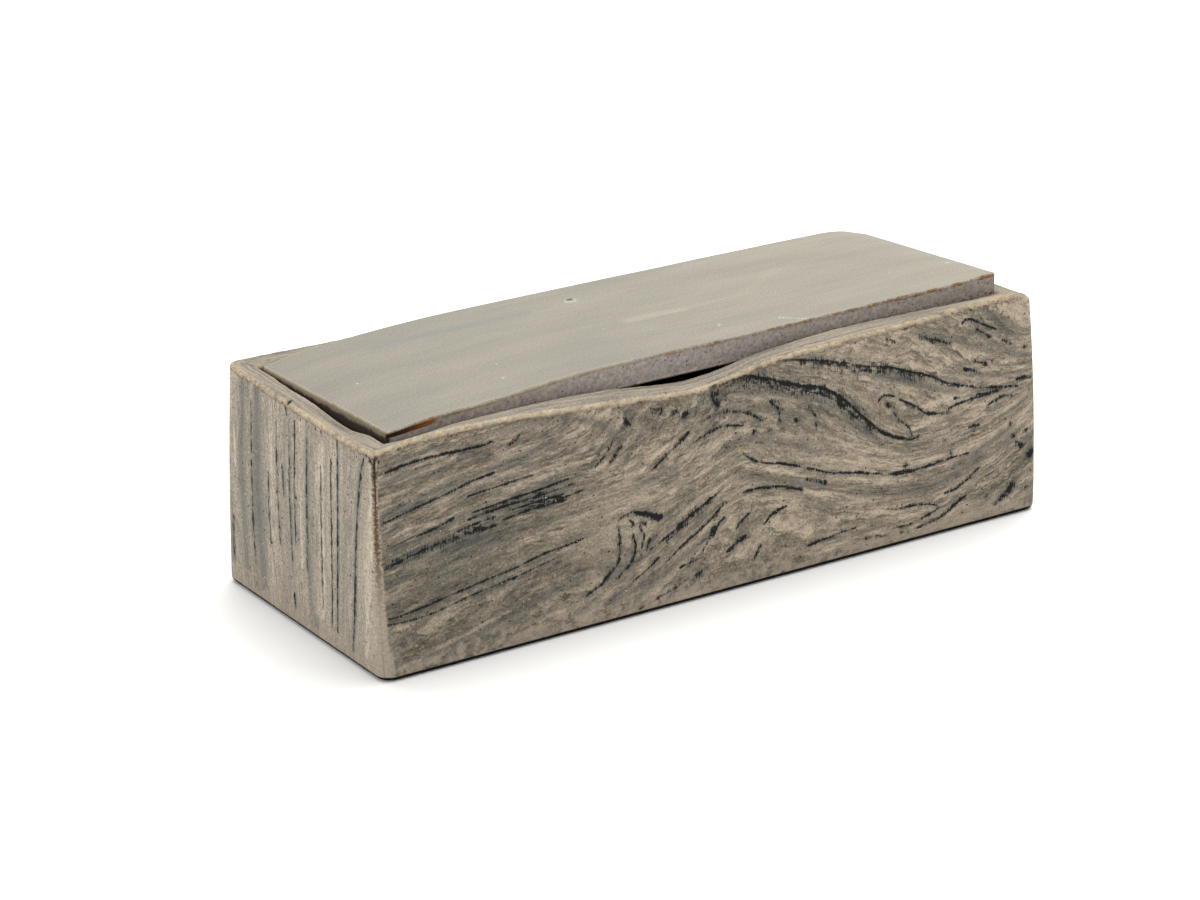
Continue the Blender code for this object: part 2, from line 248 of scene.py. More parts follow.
frontMarbling = {
    "guides": [
        (0, (-44, 0), (-36, 2.5), (-25, 7), (-17, 11), (-8, 15.5), (0, 19), (8, 20.2), (19, 17), (30, 12.5),
         (40, 10.5), (50, 9.5), (60, 11.5), (70, 15), (80, 19)),
        (-5, (-20, 1), (-8, 5.5), (2, 9.5), (8, 10.5), (18, 8.5), (30, 6.8), (44, 6), (54, 6.2), (62, 8.5),
         (72, 12), (80, 15)),
        (-9, (10, 1), (22, 3), (36, 2.6), (50, 2.8), (58, 5.3), (66, 6.5), (74, 8.5), (80, 11)),
        (4, (-80, 3.5), (-68, 4), (-55, 6.8), (-46, 9.2), (-36, 11), (-26, 13), (-17, 14), (-8, 19),
         (0, 22.5), (6, 23.5), (12, 21.8), (24.5, 18), (38, 13.5), (50, 12.5), (62, 14), (72, 17.5),
         (80, 22)),
        (9, (-80, 12.8), (-70, 13.5), (-60, 15.3), (-45, 18.2), (-33, 20), (-24, 22), (-15, 22), (-5, 25.5),
         (4.5, 29), (10, 26.4), (20, 22), (32, 18.7), (44, 16), (55, 16.4), (66, 18), (80, 24)),
        (14, (-80, 20), (-60, 23.3), (-45, 25.8), (-30, 26.5), (-20, 27.5), (-8, 31), (2, 34), (10, 33),
         (20, 29.5), (32, 24), (44, 19.5), (56, 19.5), (70, 21.5), (80, 26)),
        (19, (-80, 25), (-66, 27.2), (-50, 29), (-36, 30), (-25, 31.5), (-14, 36), (-5, 40), (4, 42.5),
         (12, 40.5), (22, 36), (32, 29), (42, 22.8), (50, 21.2), (60, 22.2), (72, 24.5), (80, 27.8)),
        (22, (-60, 31.4), (-40, 32.8), (-30, 33.8), (-22, 38), (-12, 43), (-3, 45.4), (3, 45.3), (10, 44.3),
         (19, 40.4), (27, 37), (34, 31.5), (40, 26), (46, 23.8), (54, 24), (64, 25.5), (80, 28.6)),
        (25, (40, 32), (46, 30.5), (52, 28), (55, 27), (62, 28.2), (72, 28.8), (80, 29.4)),
        (28, (14, 47.2), (20, 46), (30, 43), (42, 40), (50, 36.5), (57, 33), (62, 31.5), (70, 30.6),
         (80, 30.4)),
        (33, (34, 48.6), (46, 45), (54, 43.3), (62, 38.5), (70, 35.5), (80, 33.5)),
        (38, (56, 49), (64.5, 45.5), (70, 42.3), (80, 37.5)),
        (42, (70, 49), (75, 45.5), (80, 42)),
        (25, (-80, 30), (-60, 33.8), (-45, 36), (-34, 37), (-27, 39), (-22, 42.5), (-19, 48)),
        (30, (-80, 36), (-66, 38), (-50, 40), (-40, 41.5), (-33, 43.5), (-29, 48)),
        (35, (-80, 42), (-66, 43.5), (-52, 44.5), (-44, 46), (-38, 48.5)),
    ],
    # (width, strength, points...)
    "dark": [
        (0.5, 0.95, (-79, 43.3), (-70, 44.4), (-57, 44.2), (-54, 44.5)),
        (0.5, 0.8, (-50.4, 43.1), (-48.8, 43.6), (-47, 45)),
        (0.4, 0.85, (-78.8, 33.3), (-70.7, 35), (-63.2, 36.4), (-58.8, 37.5), (-53.8, 38.1)),
        (0.2, 0.6, (-60, 34.5), (-50, 35.3), (-45, 35.6)),
        (0.35, 1.0, (-58.8, 31.0), (-50, 31.8), (-43, 32.3), (-36.2, 33.1)),
        (0.3, 0.8, (-60, 29.8), (-52, 30.6), (-46, 30.9), (-40, 31.3), (-35.6, 31.7)),
        (0.35, 0.9, (-49.8, 29.5), (-44, 29.9), (-38, 30.1)),
        (0.3, 0.7, (-46, 28.9), (-40, 29.2), (-33.5, 29.9)),
        (0.4, 1.0, (-52, 27.9), (-47, 28.5), (-42, 28.7), (-37.7, 28.8)),
        (0.35, 0.9, (-78.2, 24.2), (-74.5, 25), (-70, 25.9), (-63.8, 26.7), (-56.7, 27.3)),
        (1.3, 0.42, (-78.5, 24), (-74.5, 24.8), (-70, 25.8), (-64, 26.6), (-54, 27.2)),
        (1.0, 0.9, (-66.4, 26.5)),
        (0.8, 0.9, (-58.6, 27.4), (-57.4, 27.6)), (0.7, 0.9, (-75.6, 24.6), (-74.8, 24.9)),
        (0.4, 0.8, (-71.3, 29), (-68, 29.5), (-63.2, 30.9)),
        (0.5, 0.8, (-63.2, 27.5), (-60, 28.3), (-54, 28.9)),
        (0.35, 0.95, (-79.2, 13.7), (-76.7, 13.4), (-67.6, 14.6), (-57.6, 16.2), (-50, 17.2), (-43.2, 18.6),
         (-36.6, 19.3), (-33.4, 19.8)),
        (0.15, 0.55, (-78.8, 12.2), (-70.4, 12.1), (-60, 13.9), (-50, 15.3), (-41, 17)),
        # the hook and the line down from it
        (0.4, 0.6, (-25.4, 21.6), (-24, 22.4), (-22, 22.5), (-20, 21.9)),
        (1.1, 1.3, (-21.4, 22.3), (-19.4, 21.6), (-17.8, 20.9), (-15.6, 19.8)),
        (1.4, 1.3, (-17.2, 20.6), (-15.8, 20)),
        (0.4, 0.9, (-22.8, 21), (-22.1, 20.1), (-22.4, 19.6)), (0.4, 0.8, (-20.4, 20), (-19.2, 19.3)),
        (0.5, 0.75, (-25.6, 20.5), (-25.3, 18), (-25.5, 15), (-26, 12.4), (-27.8, 10.9), (-30, 9),
         (-33.8, 7.3)),
        (0.8, 0.95, (-25.4, 16), (-25.3, 14.6)), (0.7, 0.8, (-27.2, 11.4), (-29, 10)),
        (0.6, 0.7, (-31, 8.6), (-32.4, 7.9)),
        (0.9, 0.9, (-18.9, 14.6), (-18.2, 15.8)), (0.35, 0.6, (-20.6, 19), (-19.6, 17), (-20.4, 14)),
        (0.35, 0.6, (-22.2, 17.8), (-21.6, 15), (-23, 12), (-26, 9.4)),
        (0.4, 0.85, (-18.1, 13.7), (-12.5, 16.2), (-10, 17.8), (-5.9, 20), (-0.3, 22.6)),
        (1.4, 0.4, (-14, 15), (-9, 18), (-4, 20.6)),
        (0.3, 0.7, (-22.5, 7.8), (-18.8, 9.8), (-16.3, 11.5)),
        (0.4, 0.8, (-14.4, 10.2), (-10, 13), (-4.7, 15.9), (-0.3, 19.3)),
        (0.2, 0.6, (-11.2, 8.1), (-6.9, 9)),
        (0.9, 1.0, (-20.9, 1.6), (-19.6, 1.9)), (0.45, 0.8, (-20, 2), (-17.5, 2.6), (-12.5, 4), (-9.4, 5.3)),
        (1.0, 0.9, (-7.4, 5.5), (-6.3, 5.8)),
        (0.7, 1.0, (-3.4, 12.6), (-2.2, 14.6), (-0.3, 16.4)),
        (0.9, 1.0, (0.4, 8.9), (2.9, 10.4), (4.8, 11.2)),
        (0.6, 0.95, (6.9, 5.8), (8.5, 8.4)), (0.4, 0.8, (-5.6, 10.4), (-4.2, 12.4), (-3, 15)),
        (0.4, 0.8, (2, 12.4), (3.6, 14.4), (6, 16)), (0.35, 0.8, (9.6, 12.8), (12, 14.6), (15, 15.4)),
        (0.6, 0.8, (-23.4, 42.8), (-22.6, 41.6), (-21.9, 40.9)), (0.5, 0.7, (-24.4, 36.8), (-26.9, 34.3)),
        (0.8, 0.8, (-29.7, 36.4)), (0.3, 0.7, (-30.5, 34), (-27.5, 36.5), (-26, 39)),
        (0.6, 0.9, (-16.9, 43.4), (-15.9, 42.9), (-14.4, 42.8), (-14.7, 41.7)),
        (0.6, 0.8, (-12.8, 45.6)), (1.3, 1.0, (-9.2, 40.1), (-8.4, 40.6)),
        (0.9, 0.9, (-11.6, 41), (-10.8, 41.2)),
        (0.8, 0.8, (-5, 44.3)), (1.8, 0.7, (-0.9, 43.4), (0.2, 42.8)), (0.8, 0.8, (-1.2, 39.5), (-0.9, 42)),
        (0.7, 0.7, (-1.9, 41), (-2.1, 43.5)),
        (0.6, 0.7, (-16.9, 30.6), (-10.6, 34.7), (-8.1, 36.5)),
        # the long curve and its neighbours
        (2.2, 0.3, (3, 44.6), (7.9, 44.1), (13.2, 42.1), (19.1, 39.8), (25.1, 37.8), (29.8, 34.5),
         (33.8, 30.7), (38.2, 26.6)),
        (0.95, 1.15, (-2.6, 44.7), (2.6, 45.1), (5.4, 45.3), (7.9, 44.8), (13.2, 42.9), (19.1, 40.6),
         (25.1, 38.7), (29.8, 35.4), (33.8, 31.5), (38.2, 27.2), (41.8, 24.7), (45.6, 23.3)),
        (0.9, 0.8, (20, 39.3), (26, 36.9), (30, 33.6), (34, 29.8)),
        (1.4, 0.3, (20, 45.5), (29.8, 42.7), (37.3, 40.1), (44, 38), (50, 35.7)),
        (0.4, 0.8, (14.4, 47), (22.3, 45.4), (29.8, 43.3), (37.3, 40.8), (42.7, 39.5), (47.6, 37.5),
         (52.4, 35.6), (56.9, 33.1), (64.5, 30.6), (69.9, 29.5), (75, 28.7)),
        (0.7, 1.15, (42.7, 39.5), (47.6, 37.5), (53.4, 35.2)), (0.8, 1.3, (-80.3, 45.8), (-80.1, 44)),
        (0.6, 1.2, (-79.3, 46)),
        (0.5, 0.9, (4.75, 29), (9.1, 26.2), (16, 24.2), (21, 22.2), (26.6, 20), (32.6, 18.7), (37.9, 17.3),
         (44.9, 15.8), (50, 16.1), (58.1, 16.5), (61.7, 16.6)),
        (0.5, 0.9, (42, 16.4), (48, 15.9), (56, 16.4)),
        (0.45, 0.9, (3.2, 20.6), (7.9, 20.8), (13.5, 20), (17.3, 18.9), (18.8, 18.3)),
        (0.8, 1.0, (15.5, 19.4), (18.8, 18.2)), (0.6, 0.8, (20.4, 20.1), (24.8, 18.3)),
        (0.5, 0.95, (18.5, 5.1), (23.5, 5.9), (32.6, 6.7)), (0.5, 0.9, (35, 3.6), (39.1, 3.3)),
        (0.8, 0.55, (12.2, 38.4), (13.8, 36.5), (14.1, 34)), (0.9, 0.6, (18.5, 33.4)),
        (0.9, 0.6, (7.6, 33.1)),
        (0.9, 0.6, (11.6, 32.5)), (0.9, 0.6, (0.8, 31.2)), (0.5, 0.5, (21.5, 35.5), (23, 33), (23, 30.5)),
        (0.5, 0.5, (-5, 38), (0, 38.9), (6, 37.5), (10, 35)), (0.4, 0.5, (-7, 34), (-1, 36), (5, 35)),
        # strokes up to the right end
        (0.6, 0.85, (41.8, 45.8), (43.7, 45.1)), (0.6, 0.8, (46.7, 47.3)),
        (0.7, 0.9, (50.4, 44.7), (53.6, 43.1)),
        (0.6, 0.9, (54.2, 43.3), (58.1, 41.5)),
        (0.4, 1.1, (61.4, 45.2), (62.3, 45.9), (64.2, 45.6), (66, 44.5), (70.2, 42.3)),
        (0.5, 0.9, (65.1, 43.3), (68.4, 40.9)), (0.6, 0.9, (71.7, 39.5), (73.8, 38.4)),
        (0.5, 0.8, (64.2, 36.4), (67.2, 35.3)), (0.5, 0.9, (61.4, 35.3), (65.4, 33.6)),
        (0.6, 0.7, (68.7, 35.8)),
        (0.5, 0.8, (77.1, 37), (78.3, 36.8)), (0.5, 0.9, (75, 30.3), (78.9, 29.8)),
        (0.4, 0.8, (58.4, 29.4), (59.9, 29.3)), (0.4, 0.8, (64.5, 29), (69.9, 28.7)),
        (0.4, 1.0, (38.9, 32.8), (39.6, 33.6), (41, 33.8), (43.1, 33.1)),
        (0.9, 0.9, (41.2, 31.6), (42, 31.2)),
        (0.35, 0.65, (42.7, 29.7), (44.2, 27.6), (46.6, 25.4), (47.2, 23.8), (48.6, 22.4)),
        (0.4, 0.9, (42, 24.6), (45, 23.4), (47.5, 22.8), (48.8, 23.2)),
        (0.45, 0.8, (44.3, 32.2), (48.8, 29.5), (50.9, 27.8), (55.4, 26.9), (58.1, 27.8), (64.5, 28.4),
         (69, 28.5)),
        (0.5, 0.8, (67.2, 26.1), (70.5, 27.2), (73.5, 27)), (0.5, 0.9, (62.4, 22.2), (64.5, 22.3)),
        (0.8, 0.9, (63.4, 21.2)), (0.7, 0.8, (55.7, 20.8)), (0.8, 0.8, (72.9, 20.6)), (1.3, 0.8, (73.9, 18)),
        (1.3, 0.8, (77, 18.5)), (0.9, 0.9, (74.6, 16.4), (76, 15.2)), (1.6, 1.1, (78.2, 12.6), (78.8, 13.6)),
        (0.5, 0.8, (55.7, 9), (59.3, 9.7), (64.5, 12.6)),
        (0.7, 1.1, (48.5, 3), (54.5, 4), (58.7, 6.1), (61.1, 7.3)), (0.9, 0.9, (66.7, 5.6)),
        (2.2, 1.0, (71.6, 5.3), (73.2, 6.8)), (0.7, 0.8, (69, 3.7), (71, 4.6)),
        (0.7, 0.8, (76.5, 5), (77.6, 6)),
        (0.3, 0.8, (42, 4.2), (48, 4.4), (53.9, 6.4), (49, 8), (42.5, 8.3)), (0.4, 0.8, (40, 3.3), (46, 2.5)),
        (0.8, 0.6, (45.5, 17.7)), (0.8, 0.6, (57.2, 17.6)),
    ],
    "light": [
        (0.9, 0.9, (-68.5, 4.8), (-60, 6.4), (-51.3, 8.6)),
        (1.0, 0.9, (-20, 30.3), (-17, 32.8), (-13, 35)),
        (2.0, 0.8, (50, 29.3), (55, 29.4), (60, 30.4)), (1.5, 0.6, (-27, 23.6), (-18, 24.4), (-9, 25.5)),
        (1.0, 0.7, (-32, 36), (-28, 40), (-25, 44.5)), (0.8, 0.6, (-14, 36.5), (-10, 40), (-6, 42.3)),
        (1.6, 0.6, (30, 22), (38, 19.2), (46, 18.4)), (1.2, 0.6, (24, 16.4), (34, 15.6), (42, 14.4)),
        (1.4, 0.7, (26, 43), (34, 40), (42, 36.5)), (1.2, 0.6, (44, 6.2), (52, 6.3)),
        (1.2, 0.6, (20, 3), (30, 4.2), (40, 4.8)), (1.6, 0.5, (28, 27), (34, 24), (40, 21.5)),
        (1.0, 0.6, (54, 40), (60, 38), (66, 37)), (1.0, 0.6, (66, 34), (72, 33), (78, 32.2)),
        (1.2, 0.5, (60, 25), (68, 24), (76, 25)), (1.4, 0.6, (4, 27), (10, 24.6), (20, 20.9)),
    ],
    "grey": [
        (0.9, 1.0, (-79.3, 41.2), (-75.4, 41.8), (-68, 42.9)),
        (1.5, 1.2, (-78.8, 34.7), (-73.8, 35.4), (-68.2, 36.8), (-63.2, 37.8)),
        (1.1, 0.9, (-55, 38.9), (-50, 39.7), (-44.8, 40.6), (-38, 42)),
        (2.2, 0.6, (-52, 46), (-44, 46.5), (-38, 46)),
        (1.5, 0.8, (-38, 46), (-33, 44.4), (-28, 42), (-24.5, 38)), (0.8, 0.8, (-77.6, 20.6), (-72.9, 21.8)),
        (0.8, 0.8, (-70, 20.7), (-65, 21.7), (-60, 22.9), (-50, 24.8), (-42, 26)),
        (1.5, 0.8, (-69.8, 3.6), (-58, 6), (-45.7, 9.2), (-34, 12)), (1.2, 0.8, (-79, 4), (-71, 3.4)),
        (1.4, 0.8, (-65, 2), (-54, 5), (-48, 6.6)), (1.6, 0.7, (-46, 1.4), (-38, 3.4), (-30, 6.8)),
        (2.6, 0.6, (-58, 30), (-48, 30.6), (-38, 30.8)),
        (2.4, 0.8, (-29.4, 4.6), (-26, 5.8), (-23, 7.1)), (1.6, 0.7, (-24, 3), (-17, 7), (-8, 11.5), (0, 16)),
        (1.4, 0.7, (-24, 13.5), (-21, 17), (-20, 20.5)), (1.6, 0.7, (-23, 27.2), (-15, 29), (-10.6, 29.3)),
        (1.6, 0.7, (-24, 33), (-20, 38), (-17, 41)), (1.8, 0.8, (20, 38.6), (27, 35), (33, 29.4), (38, 25)),
        (1.8, 0.8, (38, 38.5), (46, 36.2), (54, 32.6), (60, 30.4)), (1.6, 0.7, (20, 14.3), (26.6, 12.8)),
        (1.6, 0.7, (30.7, 14.7), (36, 13.4), (41.6, 12.9)),
        (3.0, 0.8, (42, 11.8), (50, 11.4), (58, 12.6), (66, 15)),
        (2.0, 0.7, (58, 14.5), (66, 17), (74, 20)), (2.2, 0.8, (69, 3.9), (72, 5.8), (74.7, 7.7)),
        (2.0, 0.7, (69.5, 15.5), (73, 17)), (2.0, 0.8, (73, 10), (75.5, 11.5), (79, 14.5)),
        (1.6, 0.7, (56, 36), (62, 34), (68, 32.6), (76, 31.5)), (1.6, 0.6, (48, 46), (56, 43.6), (62, 41)),
        (1.6, 0.6, (68, 40), (74, 36.5), (79, 34.5)), (1.6, 0.6, (4, 24), (10, 22.4), (18, 19.8), (28, 16.8)),
        (1.8, 0.6, (0, 31.5), (6, 32), (14, 29.5), (24, 25)),
        (1.6, 0.6, (-6, 36), (2, 39.5), (10, 37.6), (20, 32.5)),
    ],
    # (strength, along, height, radius along, radius up)
    "tone": [
        (0.07, 62, 24, 42, 60), (-0.135, -62, 16, 30, 40), (-0.08, -60, 18, 24, 9), (0.12, -24, 22, 8, 7),
        (0.1, 55, 29, 7, 2.5), (0.06, 30, 24, 14, 5),
        (0.08, 34, 42, 14, 4), (-0.05, -50, 30, 12, 3), (0.07, -55, 36, 20, 3), (0.05, 0, 33, 10, 3),
        (-0.05, -66, 2, 16, 3), (0.1, -74, 31, 2, 2.5),
    ],
    "calm": [(0.75, -30, 19, 7, 9), (0.4, -60, 19, 16, 4), (0.5, 33, 22, 10, 3), (0.45, 20, 28, 10, 4),
             (0.4, -20, 25, 8, 3)],
    "wildness": 0.35,
    "wild": [(-0.3, -60, 22, 26, 30), (0.5, -14, 38, 12, 10), (0.5, -24, 12, 8, 8), (0.5, 70, 10, 14, 10),
             (0.3, 66, 40, 14, 8), (0.3, 4, 12, 10, 8)],
    "seed": 3.0,
}

leftMarbling = {
    "guides": [
        (0, (-31, 48), (-30, 24), (-28, 0)), (3, (-28.5, 48), (-26.4, 32), (-24, 12), (-22.6, 0)),
        (6, (-26.4, 48), (-23.8, 31), (-22.3, 18), (-19.5, 0)),
        (14, (-16.6, 48), (-16.2, 31), (-15.3, 19), (-13.6, 0)),
        (18, (-13.8, 48), (-13.4, 26), (-12.8, 14), (-11.6, 0)), (24, (-8, 48), (-7.4, 24), (-6.6, 0)),
        (30, (-2, 48), (-1.2, 24), (-1, 0)), (36, (5.4, 48), (5.2, 24), (4, 0)),
        (42, (11.4, 48), (10.8, 24), (9.4, 0)),
        (48, (17.6, 48), (17, 24), (15, 0)), (54, (24, 48), (23.4, 24), (22, 0)),
        (60, (30.5, 48), (30, 24), (29, 0)),
    ],
    "dark": [
        (0.4, 0.7, (-27.2, 45.5), (-25.9, 41.8), (-23.8, 31.4), (-22.6, 21.4), (-21.3, 11.4), (-19.7, 3)),
        (0.35, 0.95, (-16.5, 46), (-16.2, 31.4), (-15.3, 18.9), (-14, 5)),
        (0.25, 0.85, (-13.7, 41), (-13.4, 26.4), (-12.8, 13.9), (-12, 5.5)),
        (0.25, 0.6, (1.2, 44), (1.5, 30), (1.6, 18)), (0.25, 0.6, (3.6, 40), (3.6, 28), (3.2, 14)),
        (0.3, 0.6, (6.6, 33.5), (6.3, 30), (6, 27)), (0.5, 0.8, (2.8, 7), (2.7, 3)),
        (0.3, 0.5, (12.4, 30), (12.4, 23), (12, 15)), (0.3, 0.4, (20, 42), (19.4, 20), (18.6, 8)),
        (0.6, 0.4, (27.8, 15), (27.8, 6)), (0.4, 0.9, (0.75, 28)), (0.4, 0.9, (-6.1, 26.4)),
        (0.3, 0.5, (-4, 42), (-3.4, 26), (-3, 14)), (0.25, 0.4, (-9.6, 38), (-9.2, 22), (-8.6, 8)),
        (0.25, 0.5, (9, 42), (8.8, 30), (8, 16)),
        # painted shade: the first two strokes here darken the chipped notch in the rim and a line below it
        (0.9, 1.3, (5, 47.4), (5.1, 46.4)), (0.3, 1.0, (5.1, 46.4), (4.6, 44.2)),
        (0.7, 1.3, (-30.6, 45.8), (-29.6, 46.3), (-28.2, 46.6)),
    ],
    "light": [
        (2.4, 0.45, (-10, 44), (-9.6, 26), (-8.6, 6)), (0.8, 0.35, (-1, 44), (-0.8, 24), (-0.9, 6)),
        (3.0, 0.4, (11, 46), (10.4, 26), (9.2, 3)), (1.4, 0.6, (27.2, 34), (27, 29), (27, 25)),
        (2.4, 0.5, (-29.5, 40), (-28, 22), (-25, 4)),
    ],
    "grey": [
        (1.8, 1.0, (-27.4, 46), (-25.9, 41.8), (-23.8, 31.4), (-22.6, 21.4), (-21.3, 11.4), (-19.5, 2)),
        (1.6, 0.8, (-16.9, 46), (-16.4, 31), (-15.5, 18.9), (-14.2, 5)),
        (3.0, 0.8, (-3.8, 46), (-3.6, 24), (-3.6, 3)),
        (1.2, 0.8, (3, 26), (3, 18)), (5.0, 1.0, (17.4, 46), (17, 26), (15, 3)),
        (2.4, 0.9, (24, 46), (23.4, 24), (22, 4)), (1.6, 0.6, (28.4, 20), (27.8, 6)),
        (3.0, 0.8, (-5.5, 4), (-5, 2)), (1.0, 0.6, (5.4, 44), (5.4, 24), (4.6, 6)),
    ],
    "tone": [(0.06, -28, 14, 4, 20), (0.05, 11, 26, 3, 26), (-0.08, 18, 26, 5, 40), (0.07, -9.5, 26, 3, 40)],
    "calm": [(0.7, -28, 14, 3.5, 22), (0.72, 0, 24, 90, 90)],
    "wildness": 0.08,
    "seed": 11.0,
}

backMarbling = {
    "guides": [
        (0, (-80, 4), (-50, 2), (-20, 8), (10, 4), (40, 9), (80, 5)),
        (8, (-80, 12), (-50, 10), (-22, 17), (8, 12), (38, 18), (80, 13)),
        (16, (-80, 20), (-54, 21), (-26, 26), (4, 21), (36, 25), (80, 20)),
        (24, (-80, 30), (-56, 31), (-28, 34), (2, 30), (34, 33), (80, 29)),
        (32, (-80, 40), (-56, 39), (-30, 42), (0, 39), (32, 41), (80, 38)),
        (38, (-80, 47), (-40, 48), (0, 47), (40, 47.5), (80, 46)),
    ],
    "dark": [
        (0.6, 0.9, (-76, 32), (-60, 32.5), (-44, 35), (-28, 37)),
        (0.5, 0.8, (-70, 15), (-52, 13), (-34, 18), (-20, 22)),
        (0.9, 1.0, (-12, 40), (0, 35), (10, 31), (20, 31.5), (32, 35)),
        (0.5, 0.8, (8, 10), (22, 12), (38, 17), (54, 16)),
        (0.4, 0.8, (44, 36), (58, 33), (72, 32)), (0.6, 0.8, (-40, 6), (-26, 9), (-14, 10)),
        (0.4, 0.7, (36, 26), (52, 24), (70, 23)), (1.0, 0.8, (24, 22), (26, 23)),
        (0.8, 0.8, (-56, 26), (-54, 26.4)),
        (0.4, 0.8, (56, 8), (66, 9), (76, 8)),
    ],
    "light": [(1.6, 0.6, (-60, 24), (-44, 25), (-28, 29)), (1.6, 0.6, (0, 17), (16, 18), (36, 22)),
              (1.4, 0.6, (40, 41), (56, 38), (74, 36))],
    "grey": [(2.0, 0.8, (-78, 28), (-60, 29), (-40, 31)), (2.2, 0.8, (-8, 34), (8, 28), (24, 28), (40, 31)),
             (2.0, 0.7, (-30, 4), (-10, 7), (14, 4)), (1.8, 0.7, (10, 8), (30, 13), (56, 13))],
    "tone": [(-0.06, -50, 20, 20, 8), (0.08, 20, 24, 16, 6), (0.06, 60, 34, 12, 5)],
    "calm": [(0.5, 4, 24, 10, 4), (0.5, -66, 8, 12, 4)],
    "seed": 19.0,
}

rightMarbling = {
    "guides": [
        (0, (-31, 6), (-16, 4), (0, 8), (16, 5), (31, 7)),
        (10, (-31, 16), (-16, 13), (0, 18), (16, 15), (31, 16)),
        (20, (-31, 27), (-14, 23), (2, 28), (18, 25), (31, 26)),
        (30, (-31, 38), (-14, 34), (2, 38), (18, 35), (31, 36)),
        (38, (-31, 47), (-14, 45), (4, 46), (18, 44), (31, 45)),
    ],
    "dark": [
        (0.6, 0.9, (-30, 29), (-16, 25), (-4, 28), (8, 30)),
        (0.5, 0.8, (-28, 13), (-14, 10), (2, 15), (14, 14)),
        (0.5, 0.8, (2, 38), (14, 36), (26, 37)), (0.8, 0.9, (14, 22), (18, 21.4), (24, 22)),
        (0.9, 0.8, (-22, 38)),
        (0.4, 0.7, (-10, 5), (4, 8), (14, 7)),
    ],
    "light": [(1.6, 0.6, (-26, 21), (-10, 18), (6, 23)), (1.4, 0.6, (-20, 42), (-6, 42), (8, 43))],
    "grey": [(2.0, 0.8, (-30, 32), (-16, 28), (0, 32), (16, 31)), (2.0, 0.7, (-20, 6), (-4, 9), (12, 6))],
    "tone": [(0.06, 0, 24, 10, 6)],
    "calm": [(0.5, 16, 28, 7, 5)],
    "seed": 27.0,
}


# A shader node group with its sockets; returns the group and its two ends
def newGroup(name, inputs, outputs):
    group = bpy.data.node_groups.new(name, "ShaderNodeTree")
    for socketName, kind, value in inputs:
        socket = group.interface.new_socket(name=socketName, in_out="INPUT", socket_type="NodeSocket" + kind)
        if value is not None:
            socket.default_value = value
    for socketName, kind in outputs:
        group.interface.new_socket(name=socketName, in_out="OUTPUT", socket_type="NodeSocket" + kind)
    return group, group.nodes.new("NodeGroupInput"), group.nodes.new("NodeGroupOutput")


# Links a socket or sets a plain value on an input
def put(tree, socket, value):
    if isinstance(value, bpy.types.NodeSocket):
        tree.links.new(value, socket)
    else:
        socket.default_value = value


# A node with its inputs, by name or number, linked or set
def addNode(tree, kind, inputs):
    node = tree.nodes.new(kind)
    for key, value in inputs.items():
        put(tree, node.inputs[key], value)
    return node


def maths(tree, operation, a, b=0.0, clamp=False):
    node = addNode(tree, "ShaderNodeMath", {0: a, 1: b})
    node.operation = operation
    node.use_clamp = clamp
    return node.outputs[0]


def times(tree, first, *others):
    for other in others:
        first = maths(tree, "MULTIPLY", first, other)
    return first


def plus(tree, first, *others):
    for other in others:
        first = maths(tree, "ADD", first, other)
    return first


def minus(tree, a, b):
    return maths(tree, "SUBTRACT", a, b)


# Noise between 0 and 1, moved to swing about zero
def centred(tree, value, gain):
    return times(tree, minus(tree, value, 0.5), gain)


# Maps a value between two limits onto another range, clamped
def spread(tree, value, low, high, to=(0.0, 1.0), smooth=True):
    node = addNode(tree, "ShaderNodeMapRange", {
        "Value": value, "From Min": low, "From Max": high, "To Min": to[0], "To Max": to[1]})
    node.interpolation_type = "SMOOTHSTEP" if smooth else "LINEAR"
    return node.outputs["Result"]


def vector(tree, x, y, z):
    return addNode(tree, "ShaderNodeCombineXYZ", {0: x, 1: y, 2: z}).outputs[0]


def split(tree, source):
    return tuple(addNode(tree, "ShaderNodeSeparateXYZ", {0: source}).outputs)


def grain(tree, at, scale, detail=2.0, roughness=0.5):
    node = addNode(tree, "ShaderNodeTexNoise", {
        "Vector": at, "Scale": scale, "Detail": detail, "Roughness": roughness})
    return node.outputs[0]


def blend(tree, share, first, second, kind="MIX"):
    node = tree.nodes.new("ShaderNodeMix")
    node.data_type = "RGBA"
    node.blend_type = kind
    node.clamp_factor = True
    put(tree, node.inputs[0], share)
    for number, value in ((6, first), (7, second)):
        put(tree, node.inputs[number], value if isinstance(value, bpy.types.NodeSocket) else (*value, 1.0))
    return node.outputs[2]


def ramp(tree, value, stops):
    node = tree.nodes.new("ShaderNodeValToRGB")
    put(tree, node.inputs[0], value)
    elements = node.color_ramp.elements
    while len(elements) < len(stops):
        elements.new(0.5)
    for element, (place, colour) in zip(elements, stops):
        element.position = place
        element.color = (*colour, 1.0)
    return node.outputs[0]


